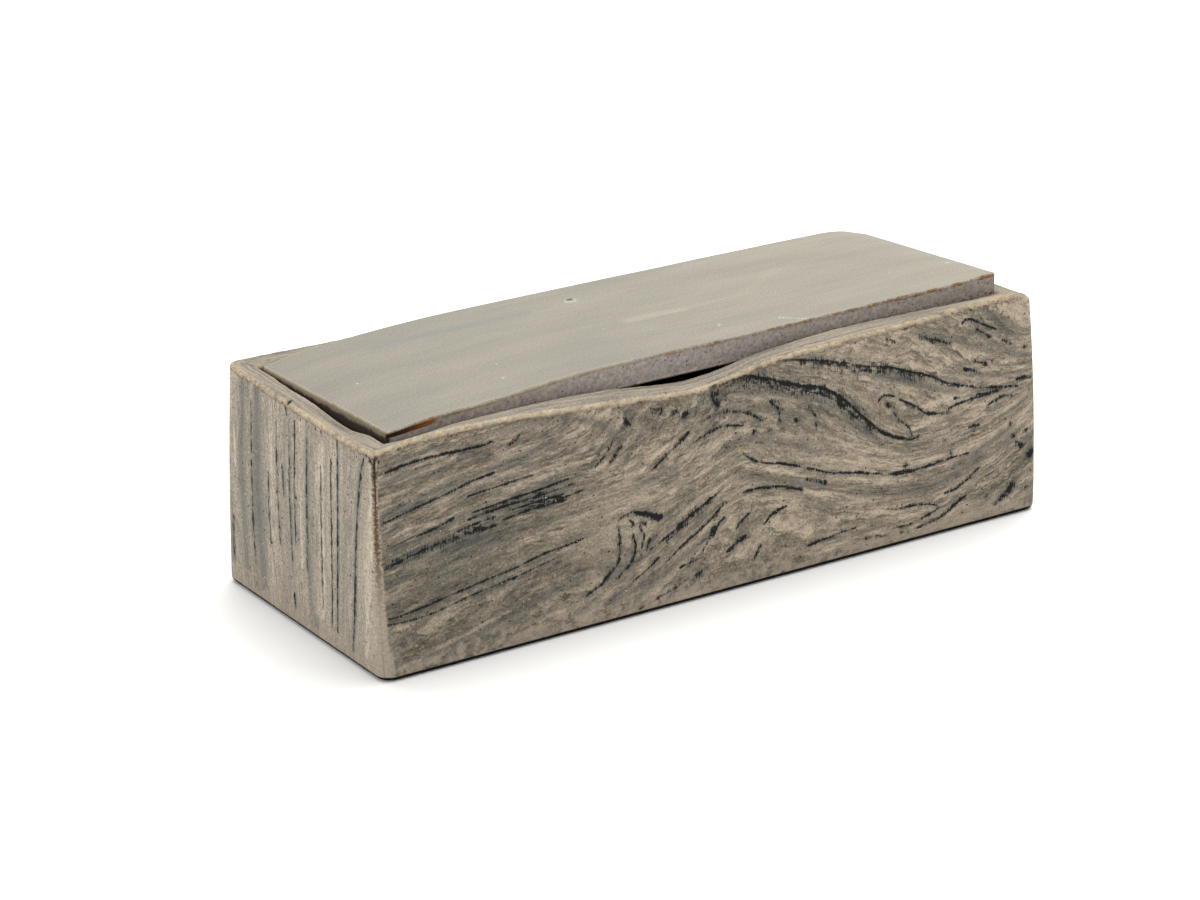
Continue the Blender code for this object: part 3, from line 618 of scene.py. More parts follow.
# Small round specks: a share of the cells of a grid holds one, of its own size
def speckGroup():
    group, ends, out = newGroup("scatteredSpecks", [
        ("At", "Vector", None), ("Cell", "Float", 1.0), ("Share", "Float", 0.2), ("Size", "Float", 0.2)],
        [("Mask", "Float")])
    cells = addNode(group, "ShaderNodeTexVoronoi", {
        "Vector": ends.outputs["At"], "Scale": maths(group, "DIVIDE", 1.0, ends.outputs["Cell"])})
    colour = split(group, cells.outputs["Color"])
    chosen = maths(group, "LESS_THAN", colour[0], ends.outputs["Share"])
    ratio = maths(group, "DIVIDE", ends.outputs["Size"], ends.outputs["Cell"])
    radius = times(group, ratio, spread(group, colour[1], 0.0, 1.0, (0.5, 1.3), False))
    inner = times(group, radius, 0.45)
    mask = minus(group, 1.0, spread(group, cells.outputs["Distance"], inner, radius))
    put(group, out.inputs["Mask"], times(group, mask, chosen))
    return group


def useGroup(tree, group, **values):
    node = tree.nodes.new("ShaderNodeGroup")
    node.node_tree = group
    for key, value in values.items():
        put(tree, node.inputs[key], value)
    return node


scatteredSpecks = speckGroup()


def specked(tree, at, cell, share, size):
    return useGroup(tree, scatteredSpecks, At=at, Cell=cell, Share=share, Size=size).outputs[0]


claySettings = {
    "body": [(0.0, (0.056, 0.055, 0.047)), (0.2, (0.105, 0.095, 0.075)), (0.38, (0.165, 0.143, 0.11)),
             (0.54, (0.238, 0.202, 0.153)), (0.7, (0.34, 0.282, 0.212)), (0.9, (0.47, 0.385, 0.29))],
    "greyBand": (0.085, 0.09, 0.086), "veinHalo": (0.075, 0.082, 0.08), "vein": (0.008, 0.009, 0.009),
    "iron": (0.034, 0.024, 0.016), "dust": (0.04, 0.035, 0.03), "grog": (0.62, 0.54, 0.43),
}


# Colour and relief of marbled clay, from the flow lines and marks laid on the wall and a place in millimetres
def marblingGroup():
    group, ends, out = newGroup("marbledClay", [
        ("Place", "Vector", None), ("Flow", "Float", 0.0), ("Dark", "Float", -1.0), ("Light", "Float", -1.0),
        ("Grey", "Float", -1.0), ("Calm", "Float", 0.0), ("Wild", "Float", 0.3), ("Tone", "Float", 0.0),
        ("Seed", "Float", 0.0)],
        [("Color", "Color"), ("Relief", "Float"), ("Vein", "Float")])
    place, flow, seed = ends.outputs["Place"], ends.outputs["Flow"], ends.outputs["Seed"]
    along, height, depth = split(group, place)
    swirl = grain(group, place, 0.13, 2.0)
    curl = grain(group, place, 0.42, 3.0, 0.6)
    shake = grain(group, place, 1.3, 3.0, 0.6)
    wild = ends.outputs["Wild"]
    drift = plus(group, times(group, swirl, 3.0), times(group, curl, 3.2))
    drift = times(group, drift, wild)
    flow = plus(group, flow, drift, times(group, shake, 0.4))

    def streak(across, slow, detail, rough):
        at = vector(group, times(group, flow, across), times(group, along, slow),
                    plus(group, times(group, height, slow), seed))
        return grain(group, at, 1.0, detail, rough)

    broad = streak(0.28, 0.03, 2.0, 0.5)
    middle = streak(0.8, 0.11, 3.0, 0.6)
    fine = streak(2.0, 0.28, 3.0, 0.65)
    hair = streak(1.6, 0.5, 3.0, 0.7)
    lively = minus(group, 1.0, times(group, ends.outputs["Calm"], 0.8))
    value = plus(group, centred(group, broad, 0.75), centred(group, middle, 0.95), centred(group, fine, 0.75),
                 centred(group, curl, 0.5))
    value = times(group, value, lively)
    sand = grain(group, place, 1.9, 4.0, 0.75)
    value = plus(group, value, centred(group, sand, 1.15), 0.555, ends.outputs["Tone"])
    lightShare = spread(group, plus(group, ends.outputs["Light"], centred(group, fine, 1.6)), 0.0, 0.9)
    value = plus(group, value, times(group, lightShare, 0.28))
    clay = ramp(group, value, claySettings["body"])
    # blue-grey clay in bands
    greyNoise = plus(group, centred(group, middle, 2.2), centred(group, fine, 1.8))
    greyShare = spread(group, plus(group, ends.outputs["Grey"], greyNoise), 0.0, 0.9)
    ownGrey = times(group, spread(group, streak(0.55, 0.05, 4.0, 0.65), 0.53, 0.66), lively)
    greyShare = maths(group, "MAXIMUM", greyShare, times(group, ownGrey, 0.75))
    clay = blend(group, times(group, greyShare, 0.6), clay, claySettings["greyBand"])
    # black veins with feathered sides, and thin lines of their own
    upright = vector(group, times(group, along, 3.4), times(group, height, 0.5), seed)
    bristle = grain(group, upright, 1.0, 2.0, 0.6)
    feather = plus(group, centred(group, hair, 2.0), centred(group, sand, 2.0), centred(group, bristle, 2.4))
    near = plus(group, ends.outputs["Dark"], feather)
    veinShare = spread(group, near, -0.05, 0.5)
    clay = blend(group, spread(group, near, -0.8, 0.35, (0.0, 0.6)), clay, claySettings["veinHalo"])
    ridge = spread(group, maths(group, "ABSOLUTE", minus(group, middle, 0.5)), 0.03, 0.0)
    patchy = spread(group, streak(0.35, 0.13, 2.0, 0.5), 0.44, 0.56)
    thread = maths(group, "ABSOLUTE", minus(group, streak(1.5, 0.12, 2.0, 0.5), 0.5))
    thread = spread(group, thread, 0.035, 0.0)
    thread = times(group, thread, spread(group, streak(0.5, 0.2, 2.0, 0.5), 0.62, 0.46))
    ownVein = times(group, ridge, patchy, lively)
    ownBlack = plus(group, streak(1.2, 0.16, 4.0, 0.7), times(group, wild, 0.05))
    ownBlack = times(group, spread(group, ownBlack, 0.58, 0.7), lively)
    ownVein = maths(group, "MAXIMUM", times(group, ownVein, 0.7), times(group, ownBlack, 0.75))
    ownVein = maths(group, "MAXIMUM", ownVein, times(group, thread, lively, 0.5))
    ownVein = times(group, ownVein, spread(group, sand, 0.3, 0.6, (0.4, 1.0)))
    veinShare = maths(group, "MAXIMUM", veinShare, ownVein)
    clay = blend(group, times(group, veinShare, 0.96), clay, claySettings["vein"])
    iron = specked(group, place, 1.3, 0.5, 0.26)
    clay = blend(group, times(group, iron, 0.9), clay, claySettings["iron"])
    dust = specked(group, vector(group, depth, height, along), 0.8, 0.3, 0.16)
    clay = blend(group, times(group, dust, 0.7), clay, claySettings["dust"])
    grog = specked(group, vector(group, height, along, depth), 1.2, 0.35, 0.18)
    clay = blend(group, times(group, grog, 0.55), clay, claySettings["grog"])
    relief = plus(group, times(group, sand, 0.5), times(group, fine, 0.3))
    relief = minus(group, relief, times(group, veinShare, 0.18))
    relief = plus(group, relief, times(group, grog, 0.3))
    put(group, out.inputs["Color"], clay)
    put(group, out.inputs["Relief"], relief)
    put(group, out.inputs["Vein"], veinShare)
    return group


marbledClay = marblingGroup()


def startMaterial(name):
    material = bpy.data.materials.new(name)
    material.use_nodes = True
    tree = material.node_tree
    return material, tree, tree.nodes["Principled BSDF"]


def attribute(tree, name):
    node = tree.nodes.new("ShaderNodeAttribute")
    node.attribute_name = name
    return node


def addBump(tree, shader, height, strength, distance):
    bump = addNode(tree, "ShaderNodeBump", {
        "Strength": strength, "Distance": distance * mm, "Height": height})
    put(tree, shader.inputs["Normal"], bump.outputs[0])


# Marbled clay outside, cream worn rim with thin slab lines, plain clay inside
def wallMaterial(name, seed, tint, lamination, seam):
    material, tree, shader = startMaterial(name)
    place = attribute(tree, "place").outputs["Vector"]
    along, height, depth = split(tree, place)
    marks = attribute(tree, "marks")
    edges = split(tree, attribute(tree, "edges").outputs["Vector"])
    dark, light, grey = split(tree, marks.outputs["Vector"])
    signed, power = split(tree, attribute(tree, "veins").outputs["Vector"])[:2]
    exact = times(tree, power, minus(tree, 1.0, maths(tree, "ABSOLUTE", signed)))
    dark = maths(tree, "MINIMUM", exact, plus(tree, dark, 0.35))
    broken = minus(tree, grain(tree, place, 0.38, 3.0, 0.6), 0.54)
    broken = times(tree, broken, spread(tree, power, 1.25, 0.85, (0.6, 3.4)))
    broken = times(tree, broken, maths(tree, "MULTIPLY", power, 1.2, clamp=True))
    dark = plus(tree, dark, broken)
    clay = useGroup(tree, marbledClay, Place=place, Flow=attribute(tree, "flow").outputs["Fac"], Dark=dark,
                    Light=light, Grey=grey, Calm=marks.outputs["Alpha"], Seed=seed,
                    Wild=attribute(tree, "wild").outputs["Fac"], Tone=attribute(tree, "tone").outputs["Fac"])
    colour = blend(tree, 1.0, clay.outputs["Color"], tint, "MULTIPLY")
    patches = grain(tree, place, 0.5, 3.0, 0.6)
    crumbs = grain(tree, place, 1.6, 3.0, 0.7)
    if seam:
        # clay of the other wall wraps the front left corner, wider at the foot, with a rust stain in the seam
        wrap = plus(tree, edges[2], centred(tree, patches, 1.3))
        wrap = minus(tree, wrap, spread(tree, height, 10.0, 1.0, (0.0, 0.45)))
        tan = ramp(tree, crumbs, [(0.3, (0.24, 0.205, 0.16)), (0.7, (0.37, 0.315, 0.245))])
        colour = blend(tree, spread(tree, wrap, -0.25, -0.6), colour, tan)
    # the cut rim: cream clay with thin blue-grey lines along the slab
    slow = vector(tree, times(tree, along, 0.05),
                  plus(tree, times(tree, depth, lamination), times(tree, patches, 1.4)), seed)
    lines = grain(tree, slow, 1.0, 4.0, 0.65)
    cream = ramp(tree, plus(tree, times(tree, lines, 0.65), times(tree, crumbs, 0.35)),
                 [(0.38, (0.09, 0.088, 0.082)), (0.45, (0.19, 0.168, 0.138)), (0.52, (0.29, 0.25, 0.193)),
                  (0.66, (0.46, 0.39, 0.29))])
    cream = blend(tree, spread(tree, depth, 0.8, 2.2, (0.0, 0.35)), cream, (0.22, 0.198, 0.165))
    ragged = centred(tree, crumbs, 2.0)
    ragged = plus(tree, ragged, centred(tree, patches, 2.4))
    below = plus(tree, edges[0], ragged)
    onRim = spread(tree, below, 1.15, 0.75)
    fringe = spread(tree, maths(tree, "ABSOLUTE", minus(tree, below, 1.15)), 0.3, 0.05, (0.0, 0.55))
    colour = blend(tree, fringe, colour, (0.13, 0.078, 0.04))
    nearFace = spread(tree, depth, 1.0, 2.2, (0.0, 1.0))
    onRim = times(tree, onRim, maths(tree, "MAXIMUM", nearFace, spread(tree, dark, 0.1, 0.6, (1.0, 0.0))))
    colour = blend(tree, onRim, colour, cream)
    # worn arrises go pale, with brown specks at their lower border
    arris = spread(tree, plus(tree, edges[1], times(tree, ragged, 0.6)), 0.95, 0.45)
    worn = ramp(tree, crumbs, [(0.35, (0.27, 0.21, 0.13)), (0.6, (0.55, 0.44, 0.29))])
    colour = blend(tree, times(tree, arris, 0.85), colour, worn)
    brown = specked(tree, place, 1.3, 0.5, 0.34)
    border = times(tree, spread(tree, edges[0], 2.4, 1.4), spread(tree, edges[0], 0.3, 0.9))
    colour = blend(tree, times(tree, brown, border), colour, (0.06, 0.035, 0.02))
    if seam:
        stain = plus(tree, edges[2], centred(tree, crumbs, 1.9))
        high = times(tree, spread(tree, height, 41.0, 43.5), spread(tree, patches, 0.42, 0.5))
        low = plus(tree, -0.4, times(tree, high, 0.5))
        stain = times(tree, spread(tree, stain, low, -0.95), spread(tree, height, 12.0, 30.0))
        stain = times(tree, stain, spread(tree, below, 0.7, 1.1))
        rust = blend(tree, high, (0.085, 0.045, 0.021), (0.012, 0.009, 0.007))
        colour = blend(tree, times(tree, stain, 0.92), colour, rust)
    # painted contact shadow: the rounded foot next to the floor is coloured near-black
    foot = spread(tree, plus(tree, height, times(tree, ragged, 0.05)), 1.2, 0.9)
    foot = times(tree, foot, spread(tree, depth, 1.3, 0.9))
    colour = blend(tree, foot, colour, (0.006, 0.005, 0.004))
    put(tree, shader.inputs["Base Color"], colour)
    put(tree, shader.inputs["Roughness"], spread(tree, clay.outputs["Vein"], 0.0, 1.0, (0.82, 0.7)))
    shader.inputs["Specular IOR Level"].default_value = 0.04
    addBump(tree, shader, clay.outputs["Relief"], 0.6, 0.25)
    return material


wallPieces = {
    "front_wall": {
        "side": "front", "marbling": frontMarbling, "step": 0.36, "rows": 128, "slot": "front_clay",
        "tint": (1.0, 1.0, 1.0), "lamination": 1.3},
    "left_end_wall": {
        "side": "left", "marbling": leftMarbling, "step": 0.36, "rows": 128, "slot": "left_clay",
        # painted light: this tint makes the end wall's clay lighter than the front's, standing in for the
        # light on the end
        "tint": (1.24, 1.28, 1.35), "lamination": 1.3,
        "chips": [(1.0, 0.9, 5.0, 47.0, 0.5, 1.6)]},    # reach, drop, along, height, depth, size
    "back_wall": {
        "side": "back", "marbling": backMarbling, "step": 0.6, "rows": 80, "slot": "back_clay",
        "tint": (1.0, 1.0, 1.0), "lamination": 1.3},
    "right_end_wall": {
        "side": "right", "marbling": rightMarbling, "step": 0.5, "rows": 90, "slot": "right_clay",
        # painted light: this tint makes the end wall's clay lighter than the front's, standing in for the
        # light on the end
        "tint": (1.25, 1.27, 1.3), "lamination": 1.3},
}


def cornerRadius(side, end, z):
    if side in ("front", "left") and end < 0:
        return shape["seamFoot"] + (shape["seamRim"] - shape["seamFoot"]) * z / shape["leanHeight"]
    return np.full(np.shape(z), shape["cornerRadius"])


# Depths and heights round a wall's section, from the foot up the face, over the rim and down inside
def wallProfile(outer, inner, rows):
    foot, rim, wall = shape["footRadius"], shape["rimRadius"], shape["wall"]
    turn = np.linspace(0, np.pi / 2, 7)
    depth = list(foot * (1 - np.sin(turn)))
    height = list(foot * (1 - np.cos(turn)))
    face = np.linspace(foot, outer - rim, rows + 2)[1:-1]
    depth += [0.0] * rows
    height += list(face)
    depth += list(rim * (1 - np.cos(turn)))
    height += list(outer - rim * (1 - np.sin(turn)))
    share = np.linspace(0, 1, 12)[1:-1]
    depth += list(rim + (wall - 2 * rim) * share)
    height += list(outer + (inner - outer) * share)
    turn = turn[::-1]
    depth += list(wall - rim * (1 - np.cos(turn)))
    height += list(inner - rim * (1 - np.sin(turn)))
    low = np.linspace(inner - rim, 0.0, 22)[1:]
    depth += [wall] * 21
    height += list(low)
    depth += list(np.linspace(wall, foot, 6)[1:-1])
    height += [0.0] * 4
    return np.array(depth), np.array(height)


def buildWall(name, settings):
    side, marbling = settings["side"], settings["marbling"]
    half = (shape["length"] if side in ("front", "back") else shape["width"]) / 2
    wall = shape["wall"]
    fan = np.linspace(45, 90, 9)
    start = float(cornerRadius(side, -1, 0.0)) - half
    stop = half - float(cornerRadius(side, 1, 0.0))
    run = np.linspace(start, stop, int((stop - start) / settings["step"]))[1:-1]
    stations = [(-1, a, -half) for a in fan] + [(0, 90, s) for s in run] + [(1, a, half) for a in fan[::-1]]
    sections, local = [], []
    for end, degrees, middle in stations:
        turn = math.radians(degrees)
        at = end * half if end else middle
        outer = float(curveHeight(shape["rimOuter"][side], at))
        inner = float(curveHeight(shape["rimInner"][side], at))
        depth, z = wallProfile(outer, inner, settings["rows"])
        radius = cornerRadius(side, end or math.copysign(1, middle), z)
        retreat = radius * (1 - math.sin(turn))
        along = end * (half - radius * (1 - math.cos(turn))) if end else np.full(len(z), middle)
        straight = along
        mitreStart = radius * (1 - math.sqrt(0.5))
        depth = np.maximum(depth, retreat + depth * (1 - retreat / wall))
        along = along * (1 - (depth - retreat) / (half - mitreStart))
        along = along * (1 - shape["mitreGap"] / half)
        sections.append(np.stack(placed(side, along, depth, z), 1))
        arris = np.minimum(np.abs(depth - retreat) + np.abs(outer - z),
                           np.abs(wall - depth) + np.abs(inner - z))
        top = outer + (inner - outer) * np.clip(depth / wall, 0, 1)
        corner = np.full(len(z), end * (90 - degrees) / 45.0)
        local.append(np.stack([straight, z, depth - retreat, top - z, arris, corner], 1))
    ring = len(sections[0])
    points, local = np.vstack(sections), np.vstack(local)
    flat = local[:, :2]
    flow = fieldThrough(marbling["guides"], flat)
    dark, signed, power = strokeField(marbling["dark"], flat, 0.15)
    light = strokeField(marbling["light"], flat, 0.4)[0]
    grey = strokeField(marbling["grey"], flat, 0.5)[0]
    marks = np.stack([dark, light, grey, np.clip(patchField(marbling["calm"], flat), 0, 1)], 1)
    # fingers smeared the inside, so no laid veins there
    within = (local[:, 2] > wall * 0.6) & (local[:, 3] > 0.8)
    marks[within, :3], signed[within] = -1.0, 4.0
    tone = patchField(marbling["tone"], flat)
    wild = np.clip(marbling.get("wildness", 0.3) + patchField(marbling.get("wild", []), flat), 0.05, 1.5)
    # hand-made unevenness, always into the clay
    across = {"front": 1, "back": 1, "left": 0, "right": 0}[side]
    inward = {"front": 1, "back": -1, "left": 1, "right": -1}[side]
    outside = np.clip(1 - local[:, 2] / wall * 2, -1, 1)
    spots, seed = local[:, :3], marbling["seed"]
    dents = shape["dent"] * (1 + wobble(spots * (1, 1, 0.3), 9.0, seed)) / 2
    dents += shape["pock"] * (1 + wobble(spots, 1.6, seed + 1)) / 2
    points[:, across] += inward * dents * outside * np.clip(local[:, 1] / 1.5, 0, 1)
    nearTop = np.clip(1 - local[:, 3] / 1.2, 0, 1)
    points[:, 2] -= nearTop * shape["rimWear"] * (1 + wobble(spots, 2.2, seed + 2))
    for reach, low, x, z, depth, size in settings.get("chips", []):
        distance = np.sqrt(((local[:, 0] - x) / reach) ** 2 + ((local[:, 1] - z) / size) ** 2
                           + ((local[:, 2] - depth) / 1.2) ** 2)
        points[:, 2] -= low * np.clip(1 - distance, 0, 1)
    count = len(sections)
    faces = []
    for i in range(count - 1):
        for j in range(ring):
            k = (j + 1) % ring
            faces.append((i * ring + j, i * ring + k, (i + 1) * ring + k, (i + 1) * ring + j))
    for base in (0, (count - 1) * ring):
        faces.append(tuple(base + j for j in range(ring)))
    points = insideBox(points, name)
    clay = wallMaterial(name + "Clay", seed, settings["tint"], settings["lamination"],
                        side in ("front", "left"))
    piece = addMesh(name + "_clay", points, faces, clay, {
        "place": local[:, :3], "flow": flow, "marks": marks, "tone": tone, "wild": wild,
        "edges": local[:, [3, 4, 5]], "veins": np.stack([signed, power, 0 * power], 1)})
    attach(piece, "box")
    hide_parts(name)
    print(name, len(faces), "faces")


for name, settings in wallPieces.items():
    buildWall(name, settings)


lidSettings = {
    "edge": 0.7, "corner": 4.5, "smallCorner": 0.9, "step": 0.55, "sideRows": 14, "pinhole": (-6.6, 15.6),
    "lip": (0.3, 0.95, 0.42), "hole": (1.0, 0.5), "sideInset": 0.15, "runEnd": -63.0, "slot": "lid_glaze",
    "glazeStops": [(0.34, (0.164, 0.153, 0.122)), (0.5, (0.236, 0.217, 0.172)), (0.66, (0.318, 0.29, 0.226))],
    "bareStops": [(0.3, (0.20, 0.172, 0.156)), (0.5, (0.30, 0.266, 0.24)), (0.7, (0.41, 0.37, 0.33))],
    "amberStops": [(0.35, (0.06, 0.03, 0.012)), (0.5, (0.15, 0.075, 0.022)), (0.68, (0.36, 0.25, 0.13))],
    "runStops": [(0.2, (0.016, 0.008, 0.005)), (0.5, (0.07, 0.026, 0.008)), (0.9, (0.23, 0.1, 0.024))],
    # (width, strength, points...), along and across the lid
    "greyBrush": [(1.6, 1.0, (-54, 15.6), (-40, 14.8), (-30, 14), (-18, 13.8))],
    "creamBrush": [(1.0, 0.6, (-4.5, -3.0), (0, -2.8), (4, -3.0), (9, -3.6)),
                   (1.0, 0.18, (9, -3.6), (24, -2), (40, 7.5))],
    "scratches": [(0.15, 1.2, (21.5, -20), (23.5, -21.8), (25.5, -24)), (0.15, 1.0, (8.6, -17), (9.6, -15.6)),
                  (0.1, 1.0, (-42.6, -16.2), (-42.2, -16.8)), (0.1, 1.0, (-9.4, -22.6), (-8.6, -21.8)),
                  (0.15, 0.9, (-19.2, 18.9), (-18.9, 19.3)), (0.3, 0.8, (71, -11), (73.5, -11.6))],
}


# Grey-green glaze above, bare grey-brown clay on the sides and below
def lidMaterial():
    material, tree, shader = startMaterial("lidGlaze")
    place = attribute(tree, "place").outputs["Vector"]
    along, across, below = split(tree, place)
    edge = attribute(tree, "edge").outputs["Fac"]
    fine = grain(tree, place, 2.2, 4.0, 0.7)
    cloudAt = vector(tree, times(tree, along, 0.03), times(tree, across, 0.12), 3.0)
    cloud = grain(tree, cloudAt, 1.0, 3.0, 0.5)
    streakAt = vector(tree, times(tree, along, 0.04), times(tree, across, 0.9), 9.0)
    streaks = grain(tree, streakAt, 1.0, 3.0, 0.6)
    # painted light: the last term lightens the glaze steadily towards the right end
    value = plus(tree, times(tree, cloud, 0.22), times(tree, streaks, 0.13), times(tree, fine, 0.65),
                 spread(tree, along, -75.0, 75.0, (-0.05, 0.05), False))
    glaze = ramp(tree, value, lidSettings["glazeStops"])
    marks = split(tree, attribute(tree, "marks").outputs["Vector"])
    glaze = blend(tree, times(tree, marks[0], streaks, 0.9), glaze, (0.15, 0.16, 0.165))
    glaze = blend(tree, times(tree, marks[1], streaks, 0.9), glaze, (0.46, 0.42, 0.30))
    # the scratch marks also carry a painted highlight on the pinhole's lip
    scratchesAndLipHighlight = times(tree, marks[2], spread(tree, fine, 0.4, 0.6, (0.3, 1.0)))
    glaze = blend(tree, scratchesAndLipHighlight, glaze, (0.6, 0.6, 0.56))
    # painted shade: the pinhole is coloured dark brown inside
    glaze = blend(tree, attribute(tree, "hole").outputs["Fac"], glaze, (0.05, 0.035, 0.025))
    dots = specked(tree, place, 3.4, 0.22, 0.35)
    glaze = blend(tree, times(tree, dots, 0.35), glaze, (0.20, 0.185, 0.15))
    pale = specked(tree, vector(tree, across, along, below), 4.6, 0.2, 0.3)
    glaze = blend(tree, times(tree, pale, 0.5), glaze, (0.68, 0.66, 0.58))
    # bare clay
    clayNoise = grain(tree, place, 1.4, 4.0, 0.65)
    bare = ramp(tree, clayNoise, lidSettings["bareStops"])
    pits = specked(tree, place, 0.9, 0.3, 0.24)
    bare = blend(tree, times(tree, pits, 0.85), bare, (0.045, 0.036, 0.034))
    cracks = grain(tree, vector(tree, times(tree, along, 0.8), times(tree, below, 3.0), 4.0), 1.0, 2.0)
    cracks = times(tree, spread(tree, cracks, 0.58, 0.64), spread(tree, below, 3.0, 4.2),
                   spread(tree, along, 25.0, 45.0))
    bare = blend(tree, cracks, bare, (0.02, 0.012, 0.008))
    white = specked(tree, vector(tree, below, along, across), 1.6, 0.2, 0.2)
    bare = blend(tree, times(tree, white, 0.6), bare, (0.62, 0.58, 0.52))
    # painted shade: the lid's left side, sunk below the rim, is coloured near-black, and the bare band
    # reaches higher there
    leftSideShade = spread(tree, along, -73.0, -74.0)
    bare = blend(tree, leftSideShade, bare, (0.03, 0.021, 0.017))
    rag = centred(tree, grain(tree, place, 0.9, 3.0, 0.6), 1.1)
    rag = blend(tree, leftSideShade, rag, times(tree, rag, 0.3))
    rag = plus(tree, rag, times(tree, leftSideShade, 0.35))
    glazeShare = spread(tree, plus(tree, below, rag), 0.75, 0.35)
    colour = blend(tree, glazeShare, bare, glaze)
    # glaze breaks brown where it thins at the edge, and cream where it pools
    soft = centred(tree, grain(tree, place, 0.35, 3.0, 0.55), 0.9)
    reach = plus(tree, edge, soft)
    rim = times(tree, spread(tree, reach, 0.9, 0.35), attribute(tree, "cream").outputs["Fac"])
    colour = blend(tree, times(tree, rim, 0.7), colour, (0.40, 0.355, 0.255))
    breaking = times(tree, spread(tree, reach, 0.52, 0.3), attribute(tree, "brown").outputs["Fac"])
    breaking = times(tree, breaking, spread(tree, grain(tree, place, 0.3, 3.0, 0.6), 0.38, 0.55, (0.35, 1.0)))
    colour = blend(tree, breaking, colour, ramp(tree, fine, lidSettings["amberStops"]))
    # the run of glaze under the front left edge
    run = plus(tree, attribute(tree, "run").outputs["Fac"], centred(tree, clayNoise, 1.2))
    burnt = spread(tree, along, -74.5, lidSettings["runEnd"], (0.0, 1.0), False)
    runColour = ramp(tree, plus(tree, burnt, centred(tree, fine, 0.7)), lidSettings["runStops"])
    colour = blend(tree, spread(tree, run, 0.35, 0.6), colour, runColour)
    put(tree, shader.inputs["Base Color"], colour)
    put(tree, shader.inputs["Roughness"], spread(tree, glazeShare, 0.0, 1.0, (0.85, 0.5)))
    shader.inputs["Specular IOR Level"].default_value = 0.3
    relief = blend(tree, glazeShare, clayNoise, times(tree, cloud, 0.3))
    relief = minus(tree, relief, times(tree, pits, minus(tree, 1.0, glazeShare)))
    addBump(tree, shader, relief, 0.5, 0.25)
    return material


# Places from one edge to the other, close together at the edges and at a few extra places
def nearEdges(half, radius, step, extra=()):
    close = radius * (1 - np.cos(np.linspace(0, np.pi / 2, 6)))
    inner = np.linspace(-half + radius, half - radius, int(2 * (half - radius) / step))
    places = np.r_[-half + close[:-1], inner, half - close[:-1]]
    for centre in extra:
        places = np.r_[places, np.linspace(centre - 1.3, centre + 1.3, 18)]
    return np.unique(np.round(np.sort(places), 3))


# A closed slab: two grids over the same plan, joined by rows down the side
def slabMesh(xs, ys, heightAt, underAt, plan, drop, sideRows):
    nx, ny = len(xs), len(ys)
    gx, gy = np.meshgrid(xs, ys, indexing="ij")
    gx, gy = gx.ravel(), gy.ravel()
    px, py = plan(gx, gy)
    fall = drop(gx, gy)
    top = np.stack([px, py, heightAt(gx, gy) - fall], 1)
    bottom = np.stack([px, py, underAt(gx, gy) + fall], 1)
    index = np.arange(nx * ny).reshape(nx, ny)
    faces = []
    for i in range(nx - 1):
        for j in range(ny - 1):
            quad = (index[i, j], index[i + 1, j], index[i + 1, j + 1], index[i, j + 1])
            faces.append(tuple(int(q) for q in quad))
            faces.append(tuple(int(q) + nx * ny for q in quad[::-1]))
    border = np.r_[index[:-1, 0], index[-1, :-1], index[:0:-1, -1], index[0, :0:-1]]
    points = [top, bottom]
    local = [np.stack([gx, gy, fall], 1), np.stack([gx, gy, top[:, 2] - bottom[:, 2] + fall], 1)]
    rows = [border]
    for row in range(1, sideRows):
        share = row / sideRows
        points.append(top[border] * (1 - share) + bottom[border] * share)
        depth = (top[border, 2] - bottom[border, 2]) * share + fall[border]
        local.append(np.stack([gx[border], gy[border], depth], 1))
        rows.append(2 * nx * ny + (row - 1) * len(border) + np.arange(len(border)))
    rows.append(border + nx * ny)
    for upper, lower in zip(rows, rows[1:]):
        for k in range(len(border)):
            n = (k + 1) % len(border)
            faces.append((int(upper[k]), int(lower[k]), int(lower[n]), int(upper[n])))
    return np.vstack(points), np.vstack(local), faces


# How far a slab's rounded edge falls below its face
def roundedDrop(x, y, halfX, halfY, edge):
    inset = np.minimum(halfX - np.abs(x), halfY - np.abs(y))
    return edge - np.sqrt(np.clip(edge ** 2 - np.clip(edge - inset, 0, edge) ** 2, 0, None))


# Pulls one corner of a plan onto a quarter circle
def roundCorner(x, y, halfX, halfY, radius, sideX, sideY):
    across = (x * sideX - halfX) / radius + 1
    up = (y * sideY - halfY) / radius + 1
    inside = (across > 0) & (up > 0)
    a, u = np.where(inside, across, 0), np.where(inside, up, 0)
    newX = sideX * (halfX + radius * (a * np.sqrt(1 - u * u / 2) - 1))
    newY = sideY * (halfY + radius * (u * np.sqrt(1 - a * a / 2) - 1))
    return np.where(inside, newX, x), np.where(inside, newY, y)


def lidTop(x, y):
    back = y / (shape["width"] - 2 * shape["wall"]) + 0.5
    return curveHeight(shape["lidFront"], x) * (1 - back) + curveHeight(shape["lidBack"], x) * back


